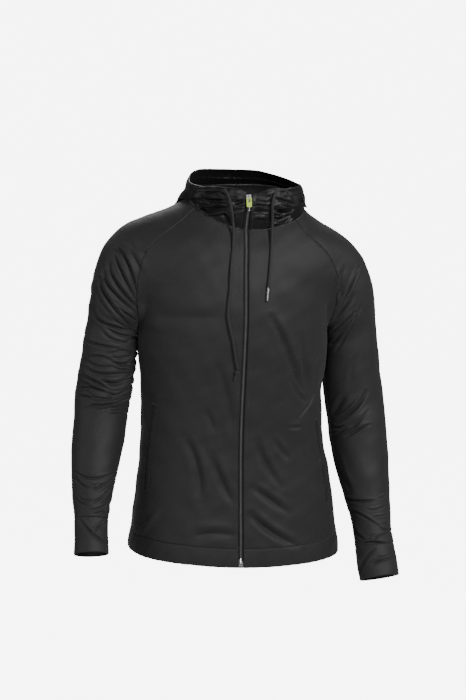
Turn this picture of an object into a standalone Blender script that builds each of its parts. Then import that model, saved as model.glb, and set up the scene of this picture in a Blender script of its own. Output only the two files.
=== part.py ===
"""Hooded track jacket with raglan sleeves and a full front zip, in the form it has when worn.

Metres, +Z up. The wearer faces -Y and the wearer's left arm is on +X. The origin is in the middle
of the neck opening, at the base of the neck, where the shoulders carry the jacket.
Every cloth panel is a wall: a grid of points laid on the outer form of the clothed figure, then
given its thickness inwards. The form is a trunk of rounded sections joined to two tapering tubes.
"""
import bpy
import numpy as np
from mathutils import Matrix, Vector

# ---------------------------------------------------------------- driving dimensions
WALL = 0.0015             # thickness of the knitted cloth
SEAM = 0.0002             # each piece stops this far short of its seam line
HOOD_SEAM = 0.0005        # the hood stops this far above the neckline
BAND_WALL = 0.0024        # thickness of the turned hem band and cuffs
ZIP_HALF = 0.0045         # half the open width between the two fronts
BAND = 0.034              # height of the hem band
CUFF = {"right": 0.054, "left": 0.052}  # height of the turned cuff
CHEST = -0.235            # height on the zip of the row that meets the underarm
NECK_CENTRE = 0.0215      # middle of the neck opening, across
NECK_HALF = 0.0925        # half width of the neck opening
NECK_FRONT = 0.0715       # depth of the neckline in front of the middle
NECK_BACK = 0.0760        # depth of the neckline behind the middle
SQUARENESS = 2.35         # exponent of the rounded sections, 2 would be an ellipse
SHOULDER_FILL = 0.060     # how softly the sleeves run into the body
FRONT_COLUMNS = 11
BACK_COLUMNS = 18
SLEEVE_COLUMNS = 18
BODY_ROWS = 14            # from the hem band up to the underarm
YOKE_ROWS = 11            # from the underarm up to the neckline
SLEEVE_ROWS = 26          # from the cuff up to the underarm
HOOD_COLUMNS = 20         # round the neck, one half
HOOD_ROWS = 16            # from the neckline to the hood's open edge

# Trunk sections, from the hem up: height, middle, half width, depth in front and behind.
TRUNK = np.array([
    # z      centre  half    front   back
    (-0.660, 0.001, 0.1900, 0.1180, 0.1180),
    (-0.625, 0.000, 0.1875, 0.1175, 0.1165),
    (-0.560, 0.000, 0.1790, 0.1150, 0.1110),
    (-0.474, 0.000, 0.1680, 0.1090, 0.1020),
    (-0.431, -0.003, 0.1610, 0.1075, 0.0985),
    (-0.387, -0.003, 0.1590, 0.1080, 0.0965),
    (-0.333, -0.0035, 0.1585, 0.1110, 0.0975),
    (-0.285, -0.001, 0.1635, 0.1150, 0.1020),
    (-0.235, -0.002, 0.1655, 0.1185, 0.1090),
    (-0.185, -0.001, 0.1660, 0.1180, 0.1140),
    (-0.140, 0.002, 0.1650, 0.1120, 0.1150),
    (-0.100, 0.008, 0.1620, 0.1000, 0.1110),
    (-0.075, 0.013, 0.1510, 0.0880, 0.1040),
    (-0.060, 0.016, 0.1370, 0.0785, 0.0975),
    (-0.050, 0.018, 0.1230, 0.0720, 0.0925),
    (-0.040, 0.020, 0.1110, 0.0670, 0.0880),
    (-0.030, 0.021, 0.1020, 0.0635, 0.0835),
    (-0.020, 0.021, 0.0950, 0.0610, 0.0795),
    (-0.010, 0.022, 0.0900, 0.0595, 0.0760),
    (0.010, 0.022, 0.0850, 0.0580, 0.0720),
    (0.060, 0.022, 0.0830, 0.0580, 0.0700)])

# Middle line of each sleeve from the neck to beyond the cuff, with the radius of the cloth round it.
ARM_RIGHT = np.array([
    # x       y       z       radius
    (-0.060, 0.006, -0.074, 0.0540),
    (-0.095, 0.006, -0.077, 0.0570),
    (-0.130, 0.006, -0.086, 0.0585),
    (-0.165, 0.006, -0.107, 0.0605),
    (-0.184, 0.006, -0.145, 0.0585),
    (-0.194, 0.006, -0.182, 0.0545),
    (-0.2105, 0.006, -0.217, 0.0425),
    (-0.2140, 0.007, -0.245, 0.0452),
    (-0.2165, 0.010, -0.286, 0.0485),
    (-0.224, 0.012, -0.328, 0.0490),
    (-0.231, 0.002, -0.369, 0.0470),
    (-0.237, -0.012, -0.408, 0.0455),
    (-0.245, -0.030, -0.446, 0.0420),
    (-0.251, -0.048, -0.483, 0.0370),
    (-0.256, -0.066, -0.521, 0.0318),
    (-0.2585, -0.081, -0.552, 0.0282),
    (-0.260, -0.094, -0.580, 0.0290),
    (-0.2610, -0.106, -0.606, 0.0310),
    (-0.2620, -0.124, -0.645, 0.0330)])
ARM_LEFT = np.array([
    (0.085, 0.004, -0.102, 0.0530),
    (0.115, 0.004, -0.112, 0.0560),
    (0.144, 0.004, -0.120, 0.0580),
    (0.172, 0.005, -0.134, 0.0600),
    (0.188, 0.005, -0.163, 0.0595),
    (0.196, 0.006, -0.198, 0.0570),
    (0.2105, 0.007, -0.234, 0.0460),
    (0.2125, 0.008, -0.262, 0.0475),
    (0.2135, 0.010, -0.298, 0.0502),
    (0.2160, 0.012, -0.334, 0.0525),
    (0.2210, 0.008, -0.375, 0.0520),
    (0.2235, -0.002, -0.417, 0.0520),
    (0.2270, -0.012, -0.458, 0.0492),
    (0.2310, -0.026, -0.499, 0.0450),
    (0.2350, -0.042, -0.539, 0.0385),
    (0.2380, -0.058, -0.578, 0.0345),
    (0.2395, -0.071, -0.611, 0.0340),
    (0.2415, -0.083, -0.640, 0.0350),
    (0.2440, -0.095, -0.668, 0.0352),
    (0.2470, -0.108, -0.700, 0.0355)])

UNDERARM_RIGHT = (-0.1670, 0.004, -0.2180)
UNDERARM_LEFT = (0.1640, 0.005, -0.2350)
CUFF_END = {"right": -0.594, "left": -0.664}  # height of the sleeve's open end on its middle line

# Raglan seams from the underarm to the neckline, as places across and up.
RAGLAN_FRONT_RIGHT = np.array([
    # x       y       z
    (-0.1700, -0.030, -0.2080),
    (-0.1725, -0.046, -0.1860),
    (-0.1735, -0.060, -0.1560),
    (-0.1715, -0.072, -0.1280),
    (-0.1640, -0.080, -0.0980),
    (-0.1450, -0.082, -0.0700),
    (-0.1130, -0.070, -0.0480)])
RAGLAN_FRONT_LEFT = np.array([
    (0.1640, -0.028, -0.2240),
    (0.1680, -0.044, -0.2020),
    (0.1715, -0.060, -0.1720),
    (0.1700, -0.074, -0.1400),
    (0.1610, -0.080, -0.1110),
    (0.1440, -0.082, -0.0860),
    (0.1200, -0.074, -0.0650)])
RAGLAN_BACK_RIGHT = np.array([
    (-0.1690, 0.036, -0.2060),
    (-0.1680, 0.056, -0.1820),
    (-0.1610, 0.072, -0.1540),
    (-0.1480, 0.084, -0.1260),
    (-0.1290, 0.090, -0.0960),
    (-0.1060, 0.086, -0.0660),
    (-0.0800, 0.070, -0.0380)])
RAGLAN_BACK_LEFT = np.array([
    (0.1640, 0.036, -0.2230),
    (0.1660, 0.056, -0.1980),
    (0.1620, 0.072, -0.1690),
    (0.1530, 0.084, -0.1400),
    (0.1390, 0.090, -0.1110),
    (0.1220, 0.086, -0.0830),
    (0.1040, 0.070, -0.0560)])

RAGLANS = {("right", "front"): RAGLAN_FRONT_RIGHT, ("left", "front"): RAGLAN_FRONT_LEFT,
           ("right", "back"): RAGLAN_BACK_RIGHT, ("left", "back"): RAGLAN_BACK_LEFT}

# Height of the neckline round the neck: 0 is the front, +90 the wearer's left, 180 the back.
NECKLINE = np.array([
    # angle   z
    (-180, -0.0130),
    (-135, -0.0080),
    (-100, -0.0110),
    (-80, -0.0170),
    (-60, -0.0270),
    (-35, -0.0430),
    (-10, -0.0510),
    (20, -0.0515),
    (45, -0.0480),
    (65, -0.0400),
    (85, -0.0300),
    (105, -0.0220),
    (135, -0.0150),
    (180, -0.0130)])
RAGLAN_TOPS = {("right", "front"): -66, ("left", "front"): 52,
               ("right", "back"): -126, ("left", "back"): 122}

# Line of the zip down the front, and the line of the hem band's lower edge.
ZIP_LINE = np.array([
    # z      x
    (-0.640, -0.0070),
    (-0.590, -0.0068),
    (-0.500, -0.0060),
    (-0.400, -0.0050),
    (-0.300, -0.0022),
    (-0.200, 0.0012),
    (-0.120, 0.0035),
    (-0.050, 0.0096),
    (0.020, 0.0138)])
HEM = np.array([
    # x      z
    (-0.190, -0.6130),
    (-0.100, -0.6195),
    (0.000, -0.6270),
    (0.100, -0.6290),
    (0.190, -0.6300)])

# The largest folds, as troughs (height below 0) and ridges along bent lines seen from the front.
# Each lies on the front (face -1) or on the back (face 1) of its piece.
FOLDS = {
    "arm_right": np.array([
        # face x0  z0      x1      z1      x2      z2      width   height
        (-1, -0.206, -0.088, -0.188, -0.122, -0.174, -0.178, 0.0090, -0.0056),
        (-1, -0.221, -0.119, -0.203, -0.165, -0.171, -0.200, 0.0090, -0.0063),
        (-1, -0.243, -0.150, -0.220, -0.204, -0.164, -0.236, 0.0100, -0.0070),
        (-1, -0.256, -0.235, -0.214, -0.252, -0.166, -0.269, 0.0090, -0.0056),
        (-1, -0.262, -0.286, -0.219, -0.312, -0.171, -0.306, 0.0085, -0.0063),
        (-1, -0.262, -0.268, -0.220, -0.287, -0.172, -0.287, 0.0100, 0.0049),
        (-1, -0.273, -0.320, -0.229, -0.332, -0.180, -0.324, 0.0100, 0.0050),
        (-1, -0.266, -0.348, -0.226, -0.353, -0.182, -0.349, 0.0100, -0.0068),
        (-1, -0.283, -0.462, -0.249, -0.472, -0.206, -0.464, 0.0080, -0.0031),
        (-1, -0.270, -0.494, -0.244, -0.487, -0.216, -0.478, 0.0080, -0.0031),
        (-1, -0.252, -0.523, -0.240, -0.520, -0.226, -0.514, 0.0080, -0.0042),
        (1, -0.214, -0.115, -0.195, -0.160, -0.172, -0.190, 0.0110, -0.0056),
        (1, -0.246, -0.165, -0.216, -0.215, -0.170, -0.236, 0.0110, -0.0063),
        (1, -0.260, -0.270, -0.222, -0.292, -0.178, -0.300, 0.0110, 0.0049),
        (1, -0.268, -0.345, -0.232, -0.362, -0.190, -0.352, 0.0110, -0.0056),
        (1, -0.283, -0.480, -0.255, -0.492, -0.222, -0.482, 0.0100, -0.0035)]),
    "arm_left": np.array([
        (-1, 0.211, -0.126, 0.184, -0.178, 0.161, -0.238, 0.0090, -0.0070),
        (-1, 0.227, -0.139, 0.206, -0.188, 0.170, -0.232, 0.0085, 0.0049),
        (-1, 0.226, -0.171, 0.207, -0.217, 0.180, -0.264, 0.0110, -0.0070),
        (-1, 0.223, -0.240, 0.211, -0.278, 0.193, -0.316, 0.0130, -0.0049),
        (-1, 0.239, -0.320, 0.224, -0.358, 0.180, -0.378, 0.0095, -0.0084),
        (-1, 0.262, -0.352, 0.234, -0.366, 0.198, -0.394, 0.0085, -0.0063),
        (-1, 0.240, -0.399, 0.216, -0.402, 0.192, -0.420, 0.0080, -0.0049),
        (-1, 0.268, -0.518, 0.226, -0.530, 0.192, -0.526, 0.0080, -0.0049),
        (-1, 0.274, -0.590, 0.232, -0.562, 0.198, -0.547, 0.0080, -0.0042),
        (-1, 0.218, -0.596, 0.209, -0.590, 0.203, -0.572, 0.0080, -0.0049),
        (-1, 0.268, -0.598, 0.236, -0.598, 0.208, -0.608, 0.0080, -0.0049),
        (1, 0.214, -0.135, 0.190, -0.185, 0.166, -0.222, 0.0110, -0.0063),
        (1, 0.244, -0.190, 0.214, -0.240, 0.174, -0.262, 0.0110, -0.0056),
        (1, 0.262, -0.360, 0.228, -0.384, 0.184, -0.376, 0.0110, -0.0070),
        (1, 0.268, -0.412, 0.236, -0.424, 0.200, -0.410, 0.0110, 0.0049),
        (1, 0.274, -0.560, 0.240, -0.572, 0.206, -0.560, 0.0100, -0.0042)]),
    "trunk": np.array([
        (-1, 0.048, -0.196, 0.073, -0.262, 0.112, -0.350, 0.0150, -0.0059),
        (-1, 0.074, -0.214, 0.097, -0.283, 0.116, -0.335, 0.0120, 0.0052),
        (-1, 0.100, -0.215, 0.112, -0.262, 0.118, -0.312, 0.0130, -0.0052),
        (-1, 0.022, -0.405, 0.038, -0.448, 0.064, -0.492, 0.0130, -0.0046),
        (-1, 0.044, -0.417, 0.063, -0.448, 0.090, -0.484, 0.0120, 0.0046),
        (-1, 0.017, -0.500, 0.052, -0.540, 0.108, -0.588, 0.0130, 0.0065),
        (-1, 0.012, -0.530, 0.046, -0.564, 0.094, -0.592, 0.0110, -0.0059),
        (-1, 0.018, -0.484, 0.047, -0.510, 0.080, -0.538, 0.0110, -0.0046),
        (-1, -0.099, -0.400, -0.079, -0.455, -0.075, -0.512, 0.0140, -0.0039),
        (-1, -0.058, -0.425, -0.039, -0.478, -0.020, -0.515, 0.0130, -0.0039),
        (-1, -0.047, -0.265, -0.031, -0.325, -0.021, -0.388, 0.0150, -0.0033),
        (1, -0.120, -0.210, -0.075, -0.260, -0.050, -0.330, 0.0180, -0.0052),
        (1, 0.122, -0.220, 0.080, -0.270, 0.055, -0.345, 0.0180, -0.0052),
        (1, -0.125, -0.360, -0.060, -0.392, 0.010, -0.388, 0.0170, -0.0052),
        (1, 0.128, -0.400, 0.070, -0.424, 0.000, -0.430, 0.0170, -0.0052),
        (1, -0.110, -0.440, -0.050, -0.468, 0.030, -0.472, 0.0170, 0.0046),
        (1, 0.060, -0.500, 0.085, -0.545, 0.095, -0.585, 0.0150, -0.0046)])}

# Sections of the hood at angles from the front: where its open edge lies, the crest of the layer that
# stands on the neckline, and the lowest and widest places of the bag that it folds down into.
HOOD_TABLE = {"right": np.array([
    # angle edge_r edge_z  crest_z low_z   bag_r  bag
    (0, 0.0745, 0.0080, 0.0000, -0.0200, 0.0900, 0.00),
    (25, 0.0800, 0.0190, 0.0020, -0.0150, 0.0950, 0.00),
    (45, 0.0840, 0.0210, 0.0050, -0.0080, 0.1000, 0.05),
    (66, 0.0920, 0.0215, 0.0080, -0.0060, 0.1060, 0.55),
    (85, 0.0950, 0.0240, 0.0110, -0.0110, 0.1050, 1.00),
    (105, 0.0970, 0.0310, 0.0140, -0.0420, 0.1110, 1.00),
    (125, 0.1010, 0.0380, 0.0150, -0.1000, 0.1300, 1.00),
    (145, 0.1100, 0.0410, 0.0130, -0.1680, 0.1600, 1.00),
    (163, 0.1200, 0.0390, 0.0110, -0.1960, 0.1700, 1.00),
    (180, 0.1230, 0.0370, 0.0110, -0.2020, 0.1700, 1.00)]),
    "left": np.array([
        (0, 0.0745, 0.0080, 0.0000, -0.0200, 0.0900, 0.00),
        (25, 0.0790, 0.0175, 0.0000, -0.0200, 0.0950, 0.00),
        (45, 0.0835, 0.0160, 0.0000, -0.0180, 0.0980, 0.05),
        (66, 0.0880, 0.0170, 0.0020, -0.0180, 0.1020, 0.50),
        (85, 0.0955, 0.0190, 0.0040, -0.0260, 0.1035, 1.00),
        (105, 0.0990, 0.0190, 0.0060, -0.0380, 0.1055, 1.00),
        (125, 0.1040, 0.0240, 0.0090, -0.0900, 0.1260, 1.00),
        (145, 0.1120, 0.0310, 0.0110, -0.1600, 0.1590, 1.00),
        (163, 0.1200, 0.0360, 0.0110, -0.1950, 0.1700, 1.00),
        (180, 0.1230, 0.0370, 0.0110, -0.2020, 0.1700, 1.00)])}
CLEAR_LOW = 0.0038        # the hood's lower layer rests this far out from the jacket
CLEAR_HIGH = 0.0100       # and its outer layer this far
ZIP_TOP = 0.0080          # height of the upper end of the zip
TAPE_WIDTH = 0.0090       # each tape reaches this far out from the middle
TAPE_THICKNESS = 0.0010
TEETH_HALF = 0.0024       # half the width of the closed coil
TEETH_FRONT = 0.0002      # the coil stands this far in front of the cloth
TEETH_CLEAR = 0.0003      # gap between the coil and the tapes
TAPE_CLEAR = 0.0004       # gap between the tapes, and from them to the cloth in front
STOP_HEIGHT = 0.0165      # the metal box at the lower end
STOP_HALF = 0.0040
STOP_FRONT = 0.0018       # it stands this far in front of the cloth
STOP_GAP = 0.0005         # gap above and below it
SLIDER_PLACE = (0.0130, -0.0766, 0.0015)  # on the coil, behind the hinge of the pull tab
SLIDER_LEAN = 0.13        # the collar leans back this much under the slider
HINGE_OUT = 0.0046        # the pull tab's hinge line stands this far out from the coil
PULL_HALF = 0.0045
PULL_THICK = 0.0016
PULL_LENGTH = 0.0215      # from the hinge line down to the tab's end
PULL_ABOVE = 0.0009       # and up to the top of its upper bar
# Lowest and highest corners in the slider's frame: across, inwards and up along the collar.
SLIDER_PLATE = ((-0.0040, -0.0030, -0.0060), (0.0040, -0.0012, 0.0070))
BAIL = ((-0.0011, -0.0074, -0.0042), (0.0011, -0.0020, 0.0042))
BAIL_GAP = ((-0.0030, -0.0062, -0.0030), (0.0030, -0.0030, 0.0030))
PULL_WINDOW = ((-0.0020, -0.0076, -0.0075), (0.0020, -0.0016, -0.0009))
WELT = 0.0012             # thickness of a pocket welt
WELT_LIFT = 0.0006
WELT_HALF = 0.0030
POCKETS = {"right": np.array([(-0.1455, -0.347), (-0.1550, -0.425), (-0.1610, -0.503)]),
           "left": np.array([(0.1345, -0.383), (0.1430, -0.440), (0.1560, -0.530)])}

# Routes of the drawcords, from the hood's tunnel down to their ends.
CORD_RADIUS = 0.00225
CORD_RIGHT = [
    (-0.0278, -0.0740, 0.0150), (-0.0252, -0.0760, 0.0136), (-0.0226, -0.0779, 0.0092),
    (-0.0203, -0.0799, 0.0025), (-0.0185, -0.0818, -0.0060), (-0.0166, -0.0822, -0.0160),
    (-0.0150, -0.0818, -0.0280), (-0.0138, -0.0812, -0.0400), (-0.0132, -0.0830, -0.0540),
    (-0.0158, -0.0920, -0.0760), (-0.0200, -0.1028, -0.1000), (-0.0230, -0.1105, -0.1220),
    (-0.0250, -0.1163, -0.1470), (-0.0282, -0.1195, -0.1680), (-0.0296, -0.1212, -0.1890),
    (-0.0265, -0.1220, -0.2100), (-0.0225, -0.1220, -0.2280), (-0.0190, -0.1213, -0.2470),
    (-0.0158, -0.1199, -0.2680), (-0.0130, -0.1188, -0.2810)]
KNOT_START = (-0.0129, -0.1188, -0.2816)
KNOT_END = (-0.0187, -0.1172, -0.3000)
CORD_LEFT = [
    (0.0778, -0.0672, 0.0138), (0.0725, -0.0704, 0.0150), (0.0665, -0.0740, 0.0147),
    (0.0605, -0.0770, 0.0115), (0.0562, -0.0794, 0.0055), (0.0538, -0.0819, -0.0020),
    (0.0526, -0.0836, -0.0110), (0.0527, -0.0822, -0.0250), (0.0530, -0.0815, -0.0380),
    (0.0524, -0.0828, -0.0520), (0.0505, -0.0890, -0.0700), (0.0475, -0.0988, -0.0910),
    (0.0445, -0.1067, -0.1120), (0.0415, -0.1126, -0.1330), (0.0397, -0.1152, -0.1440)]
TIP_START = (0.0396, -0.1153, -0.1445)
TIP_END = (0.0375, -0.1186, -0.1665)
# Outlines of the knot with its short tail and of the metal tip: share of the length, and radius.
KNOT_PROFILE = ((0, 0), (0.02, 0.0016), (0.10, 0.0036), (0.24, 0.0044), (0.38, 0.0038),
                (0.48, 0.0022), (0.60, 0.0019), (0.90, 0.0021), (1.0, 0.0017), (1.0, 0))
TIP_PROFILE = ((0, 0), (0.0, 0.0022), (0.06, 0.0026), (0.12, 0.0022), (0.90, 0.0021),
               (1.0, 0.0013), (1.0, 0))
GATHER = 0.0035           # height of the gathers in the standing front of the hood
GATHER_WAVES = 3.2        # how many of them from the neckline to the edge


# ---------------------------------------------------------------- curves and the clothed form
def smooth(table, at):
    """Read a table at new places: a cubic through its rows, its slopes taken from its neighbours."""
    knots, values = table[:, 0], table[:, 1:]
    slopes = np.gradient(values, knots, axis=0)
    at = np.clip(np.asarray(at, float), knots[0], knots[-1])
    low = np.clip(np.searchsorted(knots, at) - 1, 0, len(knots) - 2)
    step = (knots[low + 1] - knots[low])[..., None]
    t = (at - knots[low])[..., None] / step
    return ((1 + 2 * t) * (1 - t) ** 2 * values[low] + t * (1 - t) ** 2 * step * slopes[low]
            + t * t * (3 - 2 * t) * values[low + 1] - t * t * (1 - t) * step * slopes[low + 1])


def through(points, count):
    """Points at equal lengths along a smooth curve through the given points."""
    points = np.asarray(points, float)
    chord = np.r_[0, np.cumsum(np.linalg.norm(np.diff(points, axis=0), axis=1))]
    fine = smooth(np.c_[chord, points], np.linspace(0, chord[-1], 400))
    run = np.r_[0, np.cumsum(np.linalg.norm(np.diff(fine, axis=0), axis=1))]
    at = np.linspace(0, run[-1], count)
    return np.stack([np.interp(at, run, fine[:, k]) for k in range(3)], axis=1)


def ramp(value, start, end):
    """0 before start, 1 after end, with a soft step between."""
    t = np.clip((value - start) / (end - start), 0, 1)
    return t * t * (3 - 2 * t)


def trunk_distance(p):
    """Distance outside the trunk, measured from its middle line towards the point."""
    centre, half, front, back = np.moveaxis(smooth(TRUNK, p[..., 2]), -1, 0)
    across = p[..., 0] - centre
    depth = np.where(p[..., 1] < 0, front, back)
    size = (np.abs(across / half) ** SQUARENESS
            + np.abs(p[..., 1] / depth) ** SQUARENESS) ** (1 / SQUARENESS)
    return np.hypot(across, p[..., 1]) * (1 - 1 / np.maximum(size, 1e-6))


def arm_curve(arm, count=56):
    """The sleeve's middle line and radius at many places."""
    chord = np.r_[0, np.cumsum(np.linalg.norm(np.diff(arm[:, :3], axis=0), axis=1))]
    return smooth(np.c_[chord, arm], np.linspace(0, chord[-1], count))


ARM_CURVES = {"right": arm_curve(ARM_RIGHT), "left": arm_curve(ARM_LEFT)}
UNDERARM = {"right": np.array(UNDERARM_RIGHT), "left": np.array(UNDERARM_LEFT)}
SIGN = {"right": -1.0, "left": 1.0}


def arm_distance(p, side):
    """Distance outside the tapering tube round the sleeve's middle line."""
    start, end = ARM_CURVES[side][:-1], ARM_CURVES[side][1:]
    along = end[:, :3] - start[:, :3]
    away = p[..., None, :] - start[:, :3]
    t = np.clip((away * along).sum(-1) / (along ** 2).sum(-1), 0, 1)
    radius = start[:, 3] + t * (end[:, 3] - start[:, 3])
    return (np.linalg.norm(away - t[..., None] * along, axis=-1) - radius).min(axis=-1)


def joined(a, b, fill):
    """Join two distances, with the corner between them filled by a soft curve."""
    overlap = np.clip(fill - np.abs(a - b), 0, None)
    return np.minimum(a, b) - overlap ** 2 / (4 * fill)


def form(p, piece):
    """Distance outside the clothed form without folds: the trunk, one arm, or the whole yoke."""
    if piece == "trunk":
        return trunk_distance(p)
    if piece.startswith("arm"):
        return arm_distance(p, piece.split("_")[1])
    whole = trunk_distance(p)
    for arm in ("right", "left"):
        under = UNDERARM[arm][2]
        fill = 0.002 + SHOULDER_FILL * ramp(p[..., 2], under + 0.010, under + 0.110)
        beside = SIGN[arm] * p[..., 0] > 0
        whole = np.where(beside, joined(whole, arm_distance(p, arm), fill), whole)
    return whole


def bent_line(x0, z0, x1, z1, x2, z2, pieces=8):
    """Points of a parabola through three places seen from the front."""
    t = np.linspace(0, 1, pieces + 1)[:, None]
    start, middle, end = np.array([x0, z0]), np.array([x1, z1]), np.array([x2, z2])
    return start * (1 - t) * (1 - 2 * t) + middle * 4 * t * (1 - t) + end * t * (2 * t - 1)


def crease(p, row):
    """A soft trough or ridge along a bent line, on one face, fading towards its ends."""
    face, *places, width, height = row
    line = bent_line(*places)
    flat = p[..., [0, 2]]
    best = np.full(p.shape[:-1], 1e9)
    along = np.zeros(p.shape[:-1])
    for k, (a, b) in enumerate(zip(line[:-1], line[1:])):
        t = np.clip(((flat - a) @ (b - a)) / ((b - a) @ (b - a)), 0, 1)
        away = np.linalg.norm(flat - a - t[..., None] * (b - a), axis=-1)
        along = np.where(away < best, (k + t) / (len(line) - 1), along)
        best = np.minimum(best, away)
    fade = np.sin(np.pi * np.clip(along, 0.03, 0.97)) ** 0.6
    return height * fade * np.exp(-(best / width) ** 2)


def folds(p, piece):
    """Height of the folds of a piece at the given points, each on its own face."""
    height = np.zeros(p.shape[:-1])
    for name, table in FOLDS.items():
        if piece not in ("whole", name):
            continue
        middle = 0.0
        if name != "trunk":
            curve = ARM_CURVES[name.split("_")[1]]
            middle = np.interp(-p[..., 2], -curve[:, 2], curve[:, 1])
        depth = p[..., 1] - middle
        for row in table:
            height = height + crease(p, row) * ramp(depth * row[0], -0.014, 0.016)
    return height


def surface(p, piece):
    """Distance outside the cloth, folds included."""
    return form(p, piece) - folds(p, piece)


def slope(p, piece, step=0.0008):
    """Outward direction of the cloth at the given points, with its steepness."""
    parts = []
    for axis in np.eye(3):
        parts.append(surface(p + step * axis, piece) - surface(p - step * axis, piece))
    return np.stack(parts, axis=-1) / (2 * step)


def settle(p, piece, turns=6, reach=0.012):
    """Move points onto the cloth, each along the cloth's own outward direction."""
    p = np.array(p, float)
    for _ in range(turns):
        steep = slope(p, piece)
        move = surface(p, piece)[..., None] * steep
        move /= np.maximum((steep ** 2).sum(-1, keepdims=True), 0.05)
        length = np.linalg.norm(move, axis=-1, keepdims=True)
        p -= move * np.minimum(1, reach / np.maximum(length, 1e-9))
    return p


def land(p, piece, direction, depth=0.16):
    """Move points along one direction until they meet the cloth from outside."""
    direction = np.asarray(direction, float)
    low = np.zeros(len(p))
    high = np.full(len(p), depth)
    for travel in np.linspace(0, depth, 81):
        inside = surface(p + travel * direction, piece) < 0
        first = inside & (high == depth)
        high = np.where(first, travel, high)
    low = np.maximum(high - depth / 80, 0)
    for _ in range(14):
        middle = (low + high) / 2
        inside = surface(p + middle[:, None] * direction, piece) < 0
        high = np.where(inside, middle, high)
        low = np.where(inside, low, middle)
    return p + high[:, None] * direction


# ---------------------------------------------------------------- seam lines
def neckline(angles):
    """The neckline at the given angles round the neck, 0 in front."""
    angles = (np.asarray(angles, float) + 180) % 360 - 180
    turn = np.radians(angles)
    depth = np.where(np.cos(turn) > 0, NECK_FRONT, NECK_BACK)
    p = np.stack([NECK_CENTRE + NECK_HALF * np.sin(turn), -depth * np.cos(turn),
                  smooth(NECKLINE, angles)[..., 0]], axis=-1)
    return settle(p, "whole")


def raglan(side, face):
    """A raglan seam from the underarm to the neckline, one point for each yoke row."""
    table = RAGLANS[side, face]
    from_outside = -1.0 if face == "front" else 1.0
    middle = table.copy()
    middle[1:, 1] = 0.16 * from_outside
    middle[1:] = land(middle[1:], "whole", (0, -from_outside, 0))
    middle[:1] = settle(middle[:1], "whole", turns=3, reach=0.003)
    line = through(np.vstack([UNDERARM[side], middle, neckline([RAGLAN_TOPS[side, face]])]),
                   YOKE_ROWS + 1)
    inner = settle(line[2:-1], "whole", turns=3)
    return np.vstack([line[:2], inner, line[-1:]])


def hem_height(x):
    """Height of the hem band's lower edge."""
    return smooth(HEM, x)[..., 0]


def zip_angle():
    """Angle round the neck where the zip crosses the neckline."""
    return np.degrees(np.arcsin((smooth(ZIP_LINE, -0.05)[0] - NECK_CENTRE) / NECK_HALF))


def zip_points(heights):
    """Points of the zip's middle line on the fronts."""
    p = np.stack([smooth(ZIP_LINE, heights)[..., 0], np.full(len(heights), -0.16), heights], axis=-1)
    return land(p, "trunk", (0, 1, 0))


# ---------------------------------------------------------------- grids of the panels
def section_angle(p):
    """Angle of a point round its trunk section: 0 at the wearer's left side, 180 degrees at the right."""
    centre, half, front, back = np.moveaxis(smooth(TRUNK, p[..., 2]), -1, 0)
    depth = np.where(p[..., 1] < 0, front, back)
    across = (p[..., 0] - centre) / half
    return np.arctan2(np.abs(p[..., 1] / depth) ** (SQUARENESS / 2),
                      np.sign(across) * np.abs(across) ** (SQUARENESS / 2))


def section_point(angle, z, face):
    """Point of the trunk section at an angle, in front or behind."""
    centre, half, front, back = np.moveaxis(smooth(TRUNK, z), -1, 0)
    depth = -front if face == "front" else back
    power = 2 / SQUARENESS
    x = centre + half * np.sign(np.cos(angle)) * np.abs(np.cos(angle)) ** power
    return np.stack([x, depth * np.abs(np.sin(angle)) ** power, z], axis=-1)


def size_in_section(p):
    """How far out a point is in its section, 1 on the trunk itself."""
    away = np.hypot(p[..., 0] - smooth(TRUNK, p[..., 2])[..., 0], p[..., 1])
    return away / np.maximum(away - trunk_distance(p), 1e-6)


def between(start, end, columns, face):
    """Rows of points round the trunk from one edge to the other."""
    t = np.linspace(0, 1, columns + 1)[None, :]
    angle = section_angle(start)[:, None] * (1 - t) + section_angle(end)[:, None] * t
    z = start[:, 2, None] * (1 - t) + end[:, 2, None] * t
    size = size_in_section(start)[:, None] * (1 - t) + size_in_section(end)[:, None] * t
    p = section_point(angle, z, face)
    centre = smooth(TRUNK, z)[..., 0]
    p[..., 0] = centre + (p[..., 0] - centre) * size
    p[..., 1] *= size
    p[:, 0], p[:, -1] = start, end
    return p


def lay(grid, rows_below, below, top, turns=5):
    """Bring the top row to the neckline, even out the inner points and lay them on the cloth."""
    rows = len(grid)
    lift = ramp(np.arange(rows), rows_below + 0.35 * (rows - rows_below), rows - 1)[:, None, None]
    grid = grid + lift * (top - grid[-1])
    low, high = slice(1, rows_below + 1), slice(rows_below + 1, rows - 1)
    for turn in range(turns):
        if turn < turns - 1:
            even = (grid[2:, 1:-1] + grid[:-2, 1:-1] + grid[1:-1, 2:] + grid[1:-1, :-2]) / 4
            weight = 0.6 * ramp(np.arange(1, rows - 1), rows_below - 3, rows_below + 2)[:, None, None]
            grid[1:-1, 1:-1] += weight * (even - grid[1:-1, 1:-1])
        grid[low, 1:-1] = settle(grid[low, 1:-1], below, turns=2)
        grid[high, 1:-1] = settle(grid[high, 1:-1], "whole", turns=2)
    return grid


def side_edge(side):
    """Side seam from the hem band up to the underarm."""
    bottom = hem_height(1.1 * UNDERARM[side][0]) + BAND
    z = np.linspace(bottom, UNDERARM[side][2], BODY_ROWS + 1)
    centre, half = smooth(TRUNK, z)[:, 0], smooth(TRUNK, z)[:, 1]
    p = np.stack([centre + SIGN[side] * half, np.full(len(z), UNDERARM[side][1]), z], axis=-1)
    p = settle(p, "trunk", turns=3)
    p[-1] = UNDERARM[side]
    return p


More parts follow.
